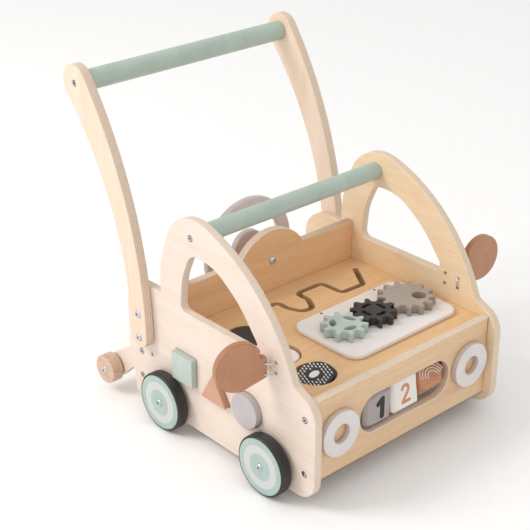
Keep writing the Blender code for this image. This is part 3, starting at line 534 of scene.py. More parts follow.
def sheet_piece(name, node, outline, finish, lie, slot, holes=(), ease=ROUND_OVER, steps=3,
                centre=(0, 0), body="chassis"):
    """A sawn piece as thick as the CAD node it stands for. Its outline lies along the side,
    faces the front or lies level, and its zero is at the centre."""
    low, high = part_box(node)
    u, v = centre
    thickness, corner, turn = {
        "along side": (high.x - low.x, (low.x, u, v), ACROSS),
        "facing front": (high.y - low.y, (u, high.y, v), FACING),
        "level": (high.z - low.z, (u, v, low.z), FLAT)}[lie]
    sheet = cut_sheet(name, outline, thickness, finish, at(*corner) @ turn, holes, ease, steps)
    return place(sheet, body, slot, node)


def joined(name, pieces):
    """Several meshes with the same finish made into one."""
    bm = bmesh.new()
    for piece in pieces:
        bm.from_mesh(piece.data)
    mesh = bpy.data.meshes.new(name)
    bm.to_mesh(mesh)
    bm.free()
    mesh.materials.append(pieces[0].data.materials[0])
    for piece in pieces:
        bpy.data.objects.remove(piece)
    return in_scene(name, mesh)


# ------------------------------------------------------------------- geometry nodes
def geometry_tree(name, sizes):
    """A geometry tree with one mesh in and out and a named input for each size."""
    tree = bpy.data.node_groups.new(name, "GeometryNodeTree")
    tree.interface.new_socket("Geometry", in_out="INPUT", socket_type="NodeSocketGeometry")
    for label, kind in sizes:
        tree.interface.new_socket(label, in_out="INPUT", socket_type=kind)
    tree.interface.new_socket("Geometry", in_out="OUTPUT", socket_type="NodeSocketGeometry")
    return tree, add(tree, "NodeGroupInput"), add(tree, "NodeGroupOutput")


def grown(name, seed_mesh, tree, values, matrix=FLAT, smooth_angle=30):
    """Runs a tree on a seed mesh and keeps the result as a plain mesh."""
    seed = in_scene(name + "_seed", seed_mesh)
    change = seed.modifiers.new("grow", "NODES")
    change.node_group = tree
    for item in tree.interface.items_tree:
        if item.in_out == "INPUT" and item.name in values:
            change[item.identifier] = values[item.name]
    seen = seed.evaluated_get(bpy.context.evaluated_depsgraph_get())
    mesh = bpy.data.meshes.new_from_object(seen)
    bpy.data.objects.remove(seed)
    mesh.name = name
    mesh.transform(matrix)
    if smooth_angle:
        mesh.shade_smooth()
        mesh.set_sharp_from_angle(angle=math.radians(smooth_angle))
    return in_scene(name, mesh)


def screw_tree():
    """A countersunk screw head with a hexagon socket on every point, looking along the
    point's own direction."""
    tree, given, out = geometry_tree("countersunk_screws",
        [("Head radius", "NodeSocketFloat"), ("Edge", "NodeSocketFloat"),
        ("Socket depth", "NodeSocketFloat"), ("Material", "NodeSocketMaterial")])
    disc = add(tree, "GeometryNodeMeshCircle", {"Vertices": 24,
        "Radius": given.outputs["Head radius"]}, fill_type="NGON")
    rim = add(tree, "GeometryNodeExtrudeMesh", {"Mesh": disc,
        "Offset Scale": given.outputs["Edge"]})
    skin, top = rim.outputs["Mesh"], rim.outputs["Top"]
    # the face rounds over a little, then steps in to the socket's mouth
    for shrink in (0.93, 0.55):
        bulge = add(tree, "GeometryNodeExtrudeMesh", {"Mesh": skin, "Selection": top,
            "Offset Scale": 0.00012})
        scaled = add(tree, "GeometryNodeScaleElements",
            {"Geometry": bulge, "Selection": bulge.outputs["Top"], "Scale": shrink})
        skin, top = scaled.outputs["Geometry"], bulge.outputs["Top"]
    spot = add(tree, "GeometryNodeInputPosition")
    parts = add(tree, "ShaderNodeSeparateXYZ", {"Vector": spot})
    angle = add(tree, "ShaderNodeMath", {0: parts.outputs["Y"], 1: parts.outputs["X"]},
        operation="ARCTAN2")
    sector = add(tree, "ShaderNodeMath", {0: angle, 1: math.pi / 3}, operation="FLOORED_MODULO")
    off = add(tree, "ShaderNodeMath", {0: sector, 1: math.pi / 6}, operation="SUBTRACT")
    lean = add(tree, "ShaderNodeMath", {0: off}, operation="COSINE")
    pull = add(tree, "ShaderNodeMath", {0: math.cos(math.pi / 6), 1: lean}, operation="DIVIDE")
    flatten = add(tree, "ShaderNodeCombineXYZ", {"X": pull, "Y": pull, "Z": 1.0})
    hexed = add(tree, "ShaderNodeVectorMath", {0: spot, 1: flatten}, operation="MULTIPLY")
    mouth = add(tree, "GeometryNodeSetPosition", {"Geometry": skin, "Selection": top,
        "Position": hexed})
    down = add(tree, "ShaderNodeMath", {0: given.outputs["Socket depth"], 1: -1.0},
        operation="MULTIPLY")
    socket = add(tree, "GeometryNodeExtrudeMesh", {"Mesh": mouth, "Selection": top,
        "Offset Scale": down})
    facing = add(tree, "GeometryNodeInputNamedAttribute", {"Name": "facing"},
        data_type="FLOAT_VECTOR")
    aim = add(tree, "FunctionNodeAlignRotationToVector", {"Vector": facing.outputs["Attribute"]},
        axis="Z")
    copies = add(tree, "GeometryNodeInstanceOnPoints", {"Points": given.outputs["Geometry"],
        "Instance": socket, "Rotation": aim})
    real = add(tree, "GeometryNodeRealizeInstances", {"Geometry": copies})
    done = add(tree, "GeometryNodeSetMaterial", {"Geometry": real,
        "Material": given.outputs["Material"]})
    tree.links.new(done.outputs[0], out.inputs["Geometry"])
    return tree


def dash_tree():
    """Staggered rows of short printed dashes inside a ring, all lying the same way."""
    tree, given, out = geometry_tree("printed_dashes", [("Outer radius", "NodeSocketFloat"),
        ("Inner radius", "NodeSocketFloat"), ("Across", "NodeSocketFloat"),
        ("Along", "NodeSocketFloat"), ("Dash", "NodeSocketVector"),
        ("Material", "NodeSocketMaterial")])
    count = 15
    wide = add(tree, "ShaderNodeMath", {0: given.outputs["Across"], 1: count - 1.0},
        operation="MULTIPLY")
    deep = add(tree, "ShaderNodeMath", {0: given.outputs["Along"], 1: count - 1.0},
        operation="MULTIPLY")
    grid = add(tree, "GeometryNodeMeshGrid", {"Size X": wide, "Size Y": deep, "Vertices X": count,
        "Vertices Y": count})
    spot = add(tree, "GeometryNodeInputPosition")
    parts = add(tree, "ShaderNodeSeparateXYZ", {"Vector": spot})
    column = add(tree, "ShaderNodeMath", {0: parts.outputs["X"], 1: given.outputs["Across"]},
        operation="DIVIDE")
    whole = add(tree, "ShaderNodeMath", {0: column}, operation="ROUND")
    odd = add(tree, "ShaderNodeMath", {0: whole, 1: 2.0}, operation="FLOORED_MODULO")
    half = add(tree, "ShaderNodeMath", {0: odd, 1: 0.5}, operation="MULTIPLY")
    shift = add(tree, "ShaderNodeMath", {0: half, 1: given.outputs["Along"]}, operation="MULTIPLY")
    step = add(tree, "ShaderNodeCombineXYZ", {"Y": shift})
    staggered = add(tree, "GeometryNodeSetPosition", {"Geometry": grid, "Offset": step})
    length = add(tree, "ShaderNodeVectorMath", {0: spot}, operation="LENGTH")
    far = add(tree, "FunctionNodeCompare", {"A": length.outputs["Value"],
        "B": given.outputs["Outer radius"]}, operation="GREATER_THAN")
    near = add(tree, "FunctionNodeCompare", {"A": length.outputs["Value"],
        "B": given.outputs["Inner radius"]}, operation="LESS_THAN")
    either = add(tree, "FunctionNodeBooleanMath", {0: far, 1: near}, operation="OR")
    kept = add(tree, "GeometryNodeDeleteGeometry", {"Geometry": staggered, "Selection": either})
    dash = add(tree, "GeometryNodeMeshCube", {"Size": given.outputs["Dash"]})
    copies = add(tree, "GeometryNodeInstanceOnPoints", {"Points": kept, "Instance": dash})
    real = add(tree, "GeometryNodeRealizeInstances", {"Geometry": copies})
    done = add(tree, "GeometryNodeSetMaterial", {"Geometry": real,
        "Material": given.outputs["Material"]})
    tree.links.new(done.outputs[0], out.inputs["Geometry"])
    return tree


# ------------------------------------------------------------------------ side panels
FRONT_Y, FLOOR_CLEAR = -0.2365, 0.014
ROLLER_HUB = Vector(middle("roller_left").yz)
FRONT_MID = middle("front_panel").y
RAIL_MID = middle("rear_rail").y
ROOF = middle("roof_dowel")
HANDLE = middle("handle_dowel")
BLOCK_SLACK = 0.0005
HINGE_Y, HINGE_Z, LOOP, RISE = -0.1545, 0.1797, 0.0115, 0.0075     # mirror wire loops
PANEL_SCREWS = [(FRONT_MID, 0.1290), (FRONT_MID, 0.0500), (RAIL_MID, 0.0860), (RAIL_MID, 0.0475),
    (ROOF.y, ROOF.z)]


def side_outline():
    """Car side in (y, z): foot, tail bracket, shoulder, pillar, roof, windscreen, nose."""
    down, up = Vector((0.80, -0.60)), Vector((0.60, 0.80))
    cap = 0.0195
    tip_top, tip_low = ROLLER_HUB + down * cap + up * cap, ROLLER_HUB + down * cap - up * cap
    neck_top = ROLLER_HUB - down * 0.0500 + up * cap
    neck_low = ROLLER_HUB - down * 0.0565 - up * cap
    return rounded([(FRONT_Y, FLOOR_CLEAR, 0.030), (0.1245, FLOOR_CLEAR, 0.012),
        (0.1260, neck_low.y + 0.0005, 0.004), (tip_low.x, tip_low.y, cap - 0.0001),
        (tip_top.x, tip_top.y, cap - 0.0001), (0.1358, neck_top.y - 0.0005, 0.006),
        (0.1358, 0.1965, 0.042), (0.0606, 0.1965, 0.0015), (0.0606, 0.2480, 0.190),
        (0.0192, 0.3385, 0.062), (-0.1430, 0.2896, 0.250), (-0.1980, 0.1660, 0.012),
        (FRONT_Y, 0.1500, 0.034)])


def side_window():
    return rounded([(0.0185, 0.1865, 0.0095), (0.0140, 0.2340, 0.090), (-0.0040, 0.2745, 0.020),
        (-0.0500, 0.2750, 0.075), (-0.0985, 0.2405, 0.140), (-0.1420, 0.1865, 0.0095)])


def block_outline(shape, slack=0.0):
    """Outline of a sorter block in (y, z). Slack makes the hole it fits."""
    low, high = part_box(f"block_{shape}")
    if shape == "square":
        return rounded([(y, z, 0.002) for y, z in ((low.y - slack, low.z - slack),
            (high.y + slack, low.z - slack), (high.y + slack, high.z + slack),
            (low.y - slack, high.z + slack))])
    if shape == "triangle":
        corners = arc((-0.0545, 0.0960), 0.0290 + 2 * slack, 90, 450, 3)[:-1]
        return rounded([(y, z, 0.002) for y, z in corners])
    return circle(tuple((low.yz + high.yz) / 2), (high.z - low.z) / 2 + slack, 72)


def side_panels():
    bolts = [f"wheel_bolt_{end}_left" for end in ("front", "rear")] + ["roller_bolt_left"]
    bolts += ["arm_bolt_lower_left", "arm_bolt_upper_left"]
    for side, sign in SIDES:
        holes = [side_window()]
        holes += [circle(spot, SCREW_HOLE, 28) for spot in PANEL_SCREWS]
        holes += [circle(tuple(middle(bolt).yz), BOLT_HOLE, 20) for bolt in bolts]
        holes += [circle(SPARE_HOLE[:2], SPARE_HOLE[2], 20)]
        holes += [circle((HINGE_Y + along, HINGE_Z + rise), WIRE_HOLE, 16)
                  for along in (-LOOP, LOOP) for rise in (-RISE, RISE)]
        # the right panel takes the warmer copy of the birch, with its painted warm light
        finish = birch_side_painted_warm_light
        if sign < 0:
            finish = birch_along_y
            holes += [block_outline(shape, BLOCK_SLACK)
                      for shape in ("square", "triangle", "round")]
        sheet_piece(f"side_{side}", f"side_panel_{side}", side_outline(), finish,
                    "along side", "birch", holes)


# ---------------------------------------------------------------------- inner panels
def rectangle(low, high, corner=0.0008):
    return rounded([(low[0], low[1], corner), (high[0], low[1], corner),
        (high[0], high[1], corner), (low[0], high[1], corner)])


def front_panel():
    low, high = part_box("front_panel")
    x, z, half, radius = 0.0020, 0.0925, 0.0845, 0.0278
    window = arc((x + half - radius, z), radius, -90, 90, 32)
    window += arc((x - half + radius, z), radius, 90, 270, 32)
    sheet_piece("front", "front_panel", rectangle((low.x, low.z), (high.x, high.z)),
                birch_along_x, "facing front", "birch", [window], 0.0016, 4)


def back_panel():
    low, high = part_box("back_panel")
    shoulder, bump_x, bump_z, bump_r = 0.2065, 0.0040, 0.1716, 0.0683
    rise = math.degrees(math.asin((shoulder - bump_z) / bump_r))
    outline = [(low.x, low.z), (high.x, low.z), (high.x, shoulder)]
    outline += arc((bump_x, bump_z), bump_r, rise, 180 - rise, 56) + [(low.x, shoulder)]
    bore = circle((middle("steering_bolt").x, middle("steering_bolt").z), STEERING_HOLE, 24)
    sheet_piece("back", "back_panel", outline, birch_back, "facing front", "birch", [bore])


def rear_rail():
    low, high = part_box("rear_rail")
    sheet_piece("rail", "rear_rail", rectangle((low.x, low.z), (high.x, high.z)), birch_back,
                "facing front", "birch")


def maze_slot():
    """The winding slot in the tray, from its right end to its left end, in (x, y)."""
    bend = 0.008
    corners = [(0.1380, 0.0040, 0), (0.1125, -0.0365, bend), (0.0720, -0.0345, bend),
        (0.0700, 0.0050, bend), (0.0225, 0.0060, bend), (0.0225, -0.0170, 0.012),
        (0.0090, -0.0420, 0.012), (-0.0090, -0.0360, 0.012), (-0.0165, -0.0160, 0.012),
        (-0.0165, 0.0040, bend), (-0.0600, 0.0040, 0)]
    return slot_outline(rounded(corners), 0.0085)


def tray():
    low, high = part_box("tray")
    holes = [circle(tuple(middle(f"flip_disc_{name}").xy), 0.0280, 72)
             for name in ("front", "middle", "rear")]
    sheet_piece("tray_board", "tray", rectangle((low.x, low.y), (high.x, high.y)), birch_tray,
                "level", "birch", holes + [maze_slot()], 0.0007)


# -------------------------------------------------------------------- arms and dowels
def push_arms():
    """Each arm is a strip about one arc, widening from its foot to a round head."""
    foot = middle("arm_bolt_lower_left").yz
    upper = middle("arm_bolt_upper_left").yz
    reach, rise = HANDLE.y - foot[0], HANDLE.z - foot[1]
    bend = (reach ** 2 + rise ** 2) / (2 * reach)
    end = math.asin(rise / bend)
    steps = 64
    rear, front = [], []
    for i in range(steps + 1):
        t = i / steps
        a = end * t
        half = ARM_FOOT + (ARM_HEAD - ARM_FOOT) * t * t
        y, z = foot[0] + bend * (1 - math.cos(a)), foot[1] + bend * math.sin(a)
        rear.append((y + half * math.cos(a), z - half * math.sin(a)))
        front.append((y - half * math.cos(a), z + half * math.sin(a)))
    tilt = -math.degrees(end)
    top = arc((HANDLE.y, HANDLE.z), ARM_HEAD, tilt, tilt + 180, 44)[1:-1]
    under = arc(tuple(foot), ARM_FOOT, 180, 360, 36)[1:-1]
    outline = rear + top + front[::-1] + under
    holes = [circle(tuple(foot), BOLT_HOLE, 20), circle(tuple(upper), BOLT_HOLE, 20),
        circle((HANDLE.y, HANDLE.z), SCREW_HOLE, 28)]
    for side, _ in SIDES:
        sheet_piece(f"arm_{side}", f"push_arm_{side}", outline, birch_along_z, "along side",
                    "birch", holes, 0.0015, 4)


def dowels():
    for name in ("handle_dowel", "roof_dowel"):
        low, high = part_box(name)
        radius = (high.z - low.z) / 2
        length = high.x - low.x
        profile = rounded_profile([(0, 0), (radius, 0), (radius, length), (0, length)], 0.001)
        rings = [(radius, 0.001 + (length - 0.002) * k / 40) for k in range(1, 40)]
        half = len(profile) // 2
        profile = profile[:half] + rings + profile[half:]
        lie = at(low.x, middle(name).y, middle(name).z) @ Matrix.Rotation(math.pi / 2, 4, "Y")
        dowel = turn_piece(name.replace("_dowel", "_bar"), profile, sage_paint, lie)
        place(dowel, "chassis", "sage_paint", name)


# --------------------------------------------------------------------------- hardware
def outward(sign, x, y, z):
    """Local Z points out of that side of the car."""
    return at(x, y, z) @ Matrix.Rotation(sign * math.pi / 2, 4, "Y")


def dome(radius, rise, socket, foot):
    """Loops of a domed screw head that ends in a hexagon socket."""
    loops = [(radius, foot, False)]
    for k in range(1, 7):
        a = math.radians(13 * k)
        loops.append((radius * math.cos(a) ** 0.8 if k < 6 else socket * 1.12, foot + rise
            * math.sin(a), False))
    loops.append((socket, foot + rise * 0.97, True))
    loops.append((socket, foot + rise * 0.97 - 0.0022, True))
    loops.append((socket * 0.2, foot + rise * 0.97 - 0.0026, True))
    return loops


def side_bolts():
    """Bolts through the sides. A collar keeps each wheel and roller off the panel."""
    for side, sign in SIDES:
        kinds = [(f"wheel_bolt_{end}_{side}", 0.0052, WHEEL_COLLAR) for end in ("front", "rear")]
        kinds += [(f"roller_bolt_{side}", 0.0054, ROLLER_COLLAR)]
        kinds += [(f"arm_bolt_{row}_{side}", 0.0056, None) for row in ("lower", "upper")]
        for name, head, collar in kinds:
            low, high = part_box(name)
            inner = min(abs(low.x), abs(high.x))
            outer = max(abs(low.x), abs(high.x)) - HEAD_RISE
            loops = [(SHANK, inner, False)]
            if collar:
                radius, end = collar
                loops += [(SHANK, COLLAR_START, False), (radius, COLLAR_START, False),
                    (radius, end, False), (SHANK, end, False)]
            loops.append((SHANK, outer, False))
            loops += dome(head, 0.0026, 0.0021, outer)
            spot = middle(name)
            bolt = stack(name + "_head", loops, zinc, outward(sign, 0, spot.y, spot.z))
            place(bolt, "chassis", "zinc_steel", name)


def steering_bolt():
    """Through bolt of the steering wheel: domed head at the front, acorn nut behind."""
    back = -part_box("steering_bolt")[1].y
    loops = []
    for k in range(7):
        a = math.radians(90 - 14 * k)
        loops.append((0.0001 + 0.0046 * math.cos(a), back + 0.0032 - 0.0032 * math.sin(a), False))
    nut = -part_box("steering_wheel")[1].y - 0.0003
    loops += [(0.0054, back + 0.0034, True), (0.0056, nut, True), (SHANK, nut, False)]
    face = -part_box("back_panel")[0].y + 0.0002
    loops += [(SHANK, face, False)] + dome(0.0062, 0.0028, 0.0024, face)
    spot = middle("steering_bolt")
    bolt = stack("steering_bolt_and_nut", loops, zinc, at(spot.x, 0,
        spot.z) @ Matrix.Rotation(math.pi / 2, 4, "X"))
    place(bolt, "chassis", "zinc_steel", "steering_bolt")


def small_screws():
    """Countersunk screws that hold the panels, dowels and gear board."""
    tree = screw_tree()
    panel_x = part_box("side_panel_right")[1].x - 0.0010
    arm_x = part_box("push_arm_right")[1].x - 0.0022
    board_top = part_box("gear_board")[1].z
    sides = [((sign * panel_x, y, z), (sign, 0, 0)) for y, z in PANEL_SCREWS for _, sign in SIDES]
    sides += [((sign * arm_x, HANDLE.y, HANDLE.z), (sign, 0, 0)) for _, sign in SIDES]
    board = [((x, y, board_top - 0.0002), (0, 0, 1)) for x,
        y in ((-0.0016, -0.0680), (0.1020, -0.0680))]
    for label, spots, radius, finish in (("panel_screws", sides, SCREW_HEAD, zinc),
        ("board_screws", board, 0.0019, black_oxide_and_painted_shade)):
        seeds = bpy.data.meshes.new(label)
        seeds.from_pydata([spot for spot, _ in spots], [], [])
        facing = seeds.attributes.new("facing", "FLOAT_VECTOR", "POINT")
        for entry, (_, direction) in zip(facing.data, spots):
            entry.vector = direction
        screws = grown(label, seeds, tree, {"Head radius": radius, "Edge": 0.0004,
            "Socket depth": 0.0014, "Material": finish})
        place(screws, "chassis", "zinc_steel")
    # a dark plug ends each counterbore: painted shade in the hole round each screw, so no light
    # shows round the screws
    painted_shades = []
    for number, ((x, y, z), (sign, _, _)) in enumerate(sides):
        painted_shades.append(turn_piece(f"shade_plug_{number}", [(0, 0), (SCREW_HOLE, 0), (SCREW_HOLE, 0.006),
            (0, 0.006)], black_oxide_and_painted_shade, outward(-sign, x - sign * 0.0002, y, z), 28))
    place(joined("painted_shade_in_counterbores", painted_shades), "chassis", "zinc_steel")


# ------------------------------------------------------------------ wheels and rollers
def wheels():
    for end in ("front", "rear"):
        for side, sign in SIDES:
            disc, tyre = f"wheel_disc_{end}_{side}", f"tyre_{end}_{side}"
            low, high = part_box(disc)
            width = high.x - low.x
            inner_x = min(abs(low.x), abs(high.x))
            radius = (high.z - low.z) / 2
            spot = middle(disc)
            seat = outward(sign, sign * inner_x, spot.y, spot.z)
            steps = [radius - 0.0008, RING_OUTER, RING_INNER, 0.0036]
            outer_face = [(r, width) for r in steps]
            inner_face = [(r, 0.0) for r in steps[::-1]]
            edge = [(radius - 0.0003, 0.0002), (radius, 0.0008), (radius, width - 0.0008),
                (radius - 0.0003, width - 0.0002)]
            profile = inner_face + edge + outer_face
            body = turn_piece(f"wheel_{end}_{side}", profile, wheel_paint, seat, 96, True, 50)
            place(body, f"wheel_{end}_{side}", "pale_sage_paint", disc)
            big = (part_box(tyre)[1].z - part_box(tyre)[0].z) / 2
            seat_r = radius + 0.0003
            groove = []
            for k in range(3):
                mid = width * (0.34 + 0.16 * k)
                groove += [(big, mid - 0.0009), (big - 0.0005, mid - 0.0005),
                    (big - 0.0005, mid + 0.0005), (big, mid + 0.0009)]
            shoulder = [(seat_r, 0.0003), (seat_r + 0.0004, 0.0), (big - 0.0026, 0.0001),
                (big - 0.0013, 0.0006), (big - 0.0004, 0.0016), (big, 0.0031)]
            wall = shoulder + groove + [(r, width - h) for r, h in shoulder[::-1]]
            band = turn_piece(f"rubber_{end}_{side}", wall, rubber, seat, 96, True, 50)
            place(band, f"wheel_{end}_{side}", "rubber", tyre)


def rollers():
    for side, sign in SIDES:
        low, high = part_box(f"roller_{side}")
        width, radius = high.x - low.x, (high.z - low.z) / 2
        spot = middle(f"roller_{side}")
        ends = rounded_profile([(0.0036, 0), (radius, 0), (radius, width), (0.0036, width)],
            0.0016)
        body = turn_piece(f"anti_tip_roller_{side}", ends, beech,
            outward(sign, sign * min(abs(low.x), abs(high.x)), spot.y, spot.z), 72, True)
        place(body, f"roller_wheel_{side}", "beech", f"roller_{side}")


# ------------------------------------------------------------------------ front pieces
def headlights():
    for side, _ in SIDES:
        spot = middle(f"headlight_ring_{side}")
        sheet_piece(f"headlight_{side}", f"headlight_ring_{side}", circle((0, 0), 0.0320, 96),
                    ring_paint, "facing front", "cloud_grey_paint",
                    [circle((0, 0), 0.0135, 64)], 0.0012, 4, (spot.x, spot.z))


CUBES = (("one", 0.0, cube_grey_paint, "cloud_grey_paint"),
    ("two", -8.0, white_paint, "white_paint"), ("three", 43.0, terracotta_paint,
    "terracotta_paint"))


def number_blocks():
    """Softened copies of the planed blocks, so their cut edges catch the light."""
    for name, _, finish, slot in CUBES:
        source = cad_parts[f"number_cube_{name}"]
        bm = bmesh.new()
        bm.from_mesh(source.data)
        bmesh.ops.remove_doubles(bm, verts=bm.verts, dist=1e-5)
        bmesh.ops.dissolve_limit(bm, angle_limit=math.radians(1.0), verts=bm.verts, edges=bm.edges)
        sharp = [e for e in bm.edges
            if len(e.link_faces) == 2 and e.calc_face_angle(0) > math.radians(25)]
        bmesh.ops.bevel(bm, geom=sharp, offset=0.0006, segments=3, profile=0.5, affect="EDGES",
            clamp_overlap=True)
        block = to_object(f"number_block_{name}", bm, finish, FLAT, 24)
        place(block, f"cube_{name}", slot, f"number_cube_{name}")


def number_strokes(number):
    """The strokes of a rounded 1, 2 or 3 and how wide the brush is, about (0, 0)."""
    if number == 1:
        return [[(0.0, 0.0125), (0.0, -0.0130)], [(-0.0075, 0.0070), (-0.0010, 0.0122)]], 0.0082
    if number == 2:
        bowl = arc((0, 0.0058), 0.0060, 165, -42, 24)
        return [bowl + [(-0.0064, -0.0112)], [(-0.0064, -0.0112), (0.0070, -0.0112)]], 0.0046
    upper = arc((0, 0.0056), 0.0054, 150, -80, 24)
    return [upper, arc((0, -0.0056), 0.0060, 80, -150, 24)], 0.0044


def ink(name, outline, finish, matrix):
    """A thin printed patch that lies on a face."""
    return cut_sheet(name, outline, PRINT, finish, matrix @ at(0, 0, -PRINT / 2), (), PRINT * 0.3,
        1)


def block_face(name, turn, quarter):
    """Local Z out of one of a block's four faces: 0 front, 1 top, 2 back, 3 underside."""
    spot = middle(f"number_cube_{name}")
    spin = Matrix.Rotation(math.radians(turn - 90 * quarter), 4, "X")
    return at(*spot) @ spin @ FACING @ at(0, 0, 0.0245 + PRINT / 2)


def block_prints():
    """Numbers, and as many dots or arches on the other faces."""
    inks = {"one": (black_ink, "charcoal_paint"), "two": (terracotta_ink, "terracotta_paint"),
        "three": (white_ink, "white_paint")}
    shifts = {"one": (0.0065, 0.0), "two": (-0.0010, -0.0010), "three": (-0.003, 0.0)}
    for number, (name, turn, _, _) in enumerate(CUBES, start=1):
        finish, slot = inks[name]
        number_faces = {"one": (0, 2), "two": (0, 2), "three": (2, 3)}[name]
        strokes, brush = number_strokes(number)
        pieces = []
        for quarter in range(4):
            face = block_face(name, turn, quarter) @ at(*shifts[name], 0)
            label = f"print_{name}_{quarter}"
            if quarter in number_faces:
                pieces += [ink(f"{label}_{k}", slot_outline(path, brush), finish,
                    face @ at(0, 0, k * OVERLAP)) for k, path in enumerate(strokes)]
            elif name == "three" and quarter == 1:
                for k in range(4):
                    path = arc((0.002, -0.016), 0.0100 + 0.0042 * k, 15, 165, 40)
                    pieces.append(ink(f"{label}_{k}", slot_outline(path, 0.0012), finish, face))
            else:
                for k in range(number):
                    x = (k - (number - 1) / 2) * 0.0115
                    pieces.append(ink(f"{label}_{k}", circle((x, 0), 0.0042, 36), finish, face))
        place(joined(f"block_print_{name}", pieces), f"cube_{name}", slot)


# ------------------------------------------------------------------------- tray pieces
FLIPS = (("front", -13.0, charcoal_paint, "charcoal_paint"),
    ("middle", 9.0, white_paint, "white_paint"), ("rear", -5.0, charcoal_paint, "charcoal_paint"))


def flip_discs():
    thickness, radius = 0.012, 0.0255
    tree = dash_tree()
    for name, turn, finish, slot in FLIPS:
        spot = middle(f"flip_disc_{name}")
        seat = at(*spot) @ Matrix.Rotation(math.radians(turn), 4, "Y")
        disc = cut_sheet(f"flip_{name}", circle((0, 0), radius, 96), thickness, finish,
            seat @ at(0, 0, -thickness / 2), (), 0.0016, 4)
        place(disc, f"flip_{name}", slot, f"flip_disc_{name}")
        dye = black_ink if name == "middle" else white_ink
        ink_slot = "charcoal_paint" if name == "middle" else "white_paint"
        for face, flip in (("top", 0), ("under", math.pi)):
            if name == "rear" and face == "top":
                continue
            level = seat @ Matrix.Rotation(flip, 4, "X") @ at(0, 0, thickness / 2 + PRINT / 2)
            if name != "middle" or face == "under":
                seeds = bpy.data.meshes.new(f"dashes_{name}_{face}")
                dashes = grown(f"dashes_{name}_{face}", seeds, tree,
                    {"Outer radius": 0.0222, "Inner radius": 0.0105, "Across": 0.0040,
                    "Along": 0.0062, "Dash": (0.0015, 0.0038, PRINT), "Material": dye},
                    level @ Matrix.Rotation(math.radians(-20), 4, "Z"), None)
                place(dashes, f"flip_{name}", ink_slot)
            if name == "middle" and face == "top":
                continue
            oval = [(1.35 * x, y) for x, y in circle((0, 0), 0.0056, 48)]
            place(ink(f"spot_{name}_{face}", oval, dye, level), f"flip_{name}", ink_slot)


def gear_board():
    low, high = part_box("gear_board")
    sheet_piece("board", "gear_board", rectangle((low.x, low.y), (high.x, high.y), 0.020),
                board_paint, "level", "white_paint", (), 0.0018, 5)


def gear_outline(teeth, phase):
    """Teeth with curved flanks and rounded gullets. Phase is the angle of one tooth."""
    module = 0.0056
    pitch_r, pitch = module * teeth / 2, 360 / teeth
    root, tip = pitch_r - 0.0047, pitch_r + 0.0040
    flank = [(-0.420, root + 0.0001), (-0.335, root + 0.0003), (-0.303, root + 0.0007),
        (-0.275, root + 0.0014), (-0.243, pitch_r - 0.0013), (-0.215, pitch_r),
        (-0.180, pitch_r + 0.0015), (-0.145, tip - 0.0010), (-0.120, tip - 0.0003), (-0.090, tip)]
    shape = flank + [(0.0, tip)] + [(-p, r) for p, r in flank[::-1]] + [(0.5, root)]
    points = []
    for i in range(teeth):
        for part, radius in shape:
            a = math.radians(phase + (i + part) * pitch)
            points.append((radius * math.cos(a), radius * math.sin(a)))
    return points


def leaf(centre, angle, length, width):
    """A pointed oval hole whose long side lies along an angle."""
    half = length / 2
    radius = (half * half + width * width / 4) / width
    sweep = math.degrees(math.asin(half / radius))
    drop = radius - width / 2
    near = arc((0, -drop), radius, 90 - sweep, 90 + sweep, 14)
    far = arc((0, drop), radius, 270 - sweep, 270 + sweep, 14)
    turn = Matrix.Rotation(math.radians(angle), 2)
    return [tuple(turn @ Vector(p) + Vector(centre)) for p in near[:-1] + far[:-1]]


def gears():
    """Each gear: teeth, the angle of one tooth, holes, finish and slot."""
    leaves = [leaf(arc((0, 0), 0.0152, a, a, 1)[0], a + 90, 0.0205, 0.0095)
              for a in (17, 137, 257)]
    slots = [slot_outline(arc((0, 0), 0.0150, a - 22, a + 22, 16), 0.0056)
             for a in (0, 90, 180, 270)]
    peep_hole = [circle((0.0115, -0.0130), 0.0098, 56)]
    for name, teeth, phase, holes, finish, slot in (
            ("sage", 10, 28.0, leaves, pale_sage_paint, "pale_sage_paint"),
            ("black", 10, -10.0, slots, charcoal_paint, "charcoal_paint"),
            ("taupe", 13, 180 + 100 / 13 + 180 / 13, peep_hole, taupe_paint, "taupe_paint")):
        pin = middle(f"gear_pin_{name}")
        sheet_piece(f"cog_{name}", f"gear_{name}", gear_outline(teeth, phase), finish, "level",
                    slot, holes, 0.0008, 3, (pin.x, pin.y), f"spur_{name}")


# --------------------------------------------------------------------- steering wheel
def wheel_gap(start, end):
    spoke, rim_r, hub_r = 0.0080, 0.0585, 0.0290
    outer, inner = (math.degrees(math.asin(spoke / r)) for r in (rim_r, hub_r))
    steps = round((end - start) / 4)
    rim = arc((0, 0), rim_r, start + outer, end - outer, steps)
    hub = arc((0, 0), hub_r, end - inner, start + inner, steps)
    return rim + hub


def steering_wheel():
    spot = middle("steering_wheel")
    gaps = [wheel_gap(0, 180), wheel_gap(180, 270), wheel_gap(270, 360)]
    sheet_piece("driving_wheel", "steering_wheel", circle((0, 0), 0.0780, 128), cloud_paint,
                "facing front", "cloud_grey_paint",
                gaps + [circle((0, 0), STEERING_HOLE, 24)], 0.0016, 4, (spot.x, spot.z),
                "steering")
    low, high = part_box("steering_spacer")
    length = high.y - low.y
    tube = rounded_profile([(STEERING_HOLE, 0), (0.0110, 0), (0.0110, length),
        (STEERING_HOLE, length)], 0.0010)
    spacer = turn_piece("driving_wheel_spacer", tube, beech,
        at(spot.x, low.y, spot.z) @ Matrix.Rotation(-math.pi / 2, 4, "X"), 48, True)
    place(spacer, "chassis", "beech", "steering_spacer")


# ----------------------------------------------------------------------------- mirrors
BLADES = {"left": (0.0440, 0.0100, 168.0), "right": (0.0431, 0.0190, -3.0)}


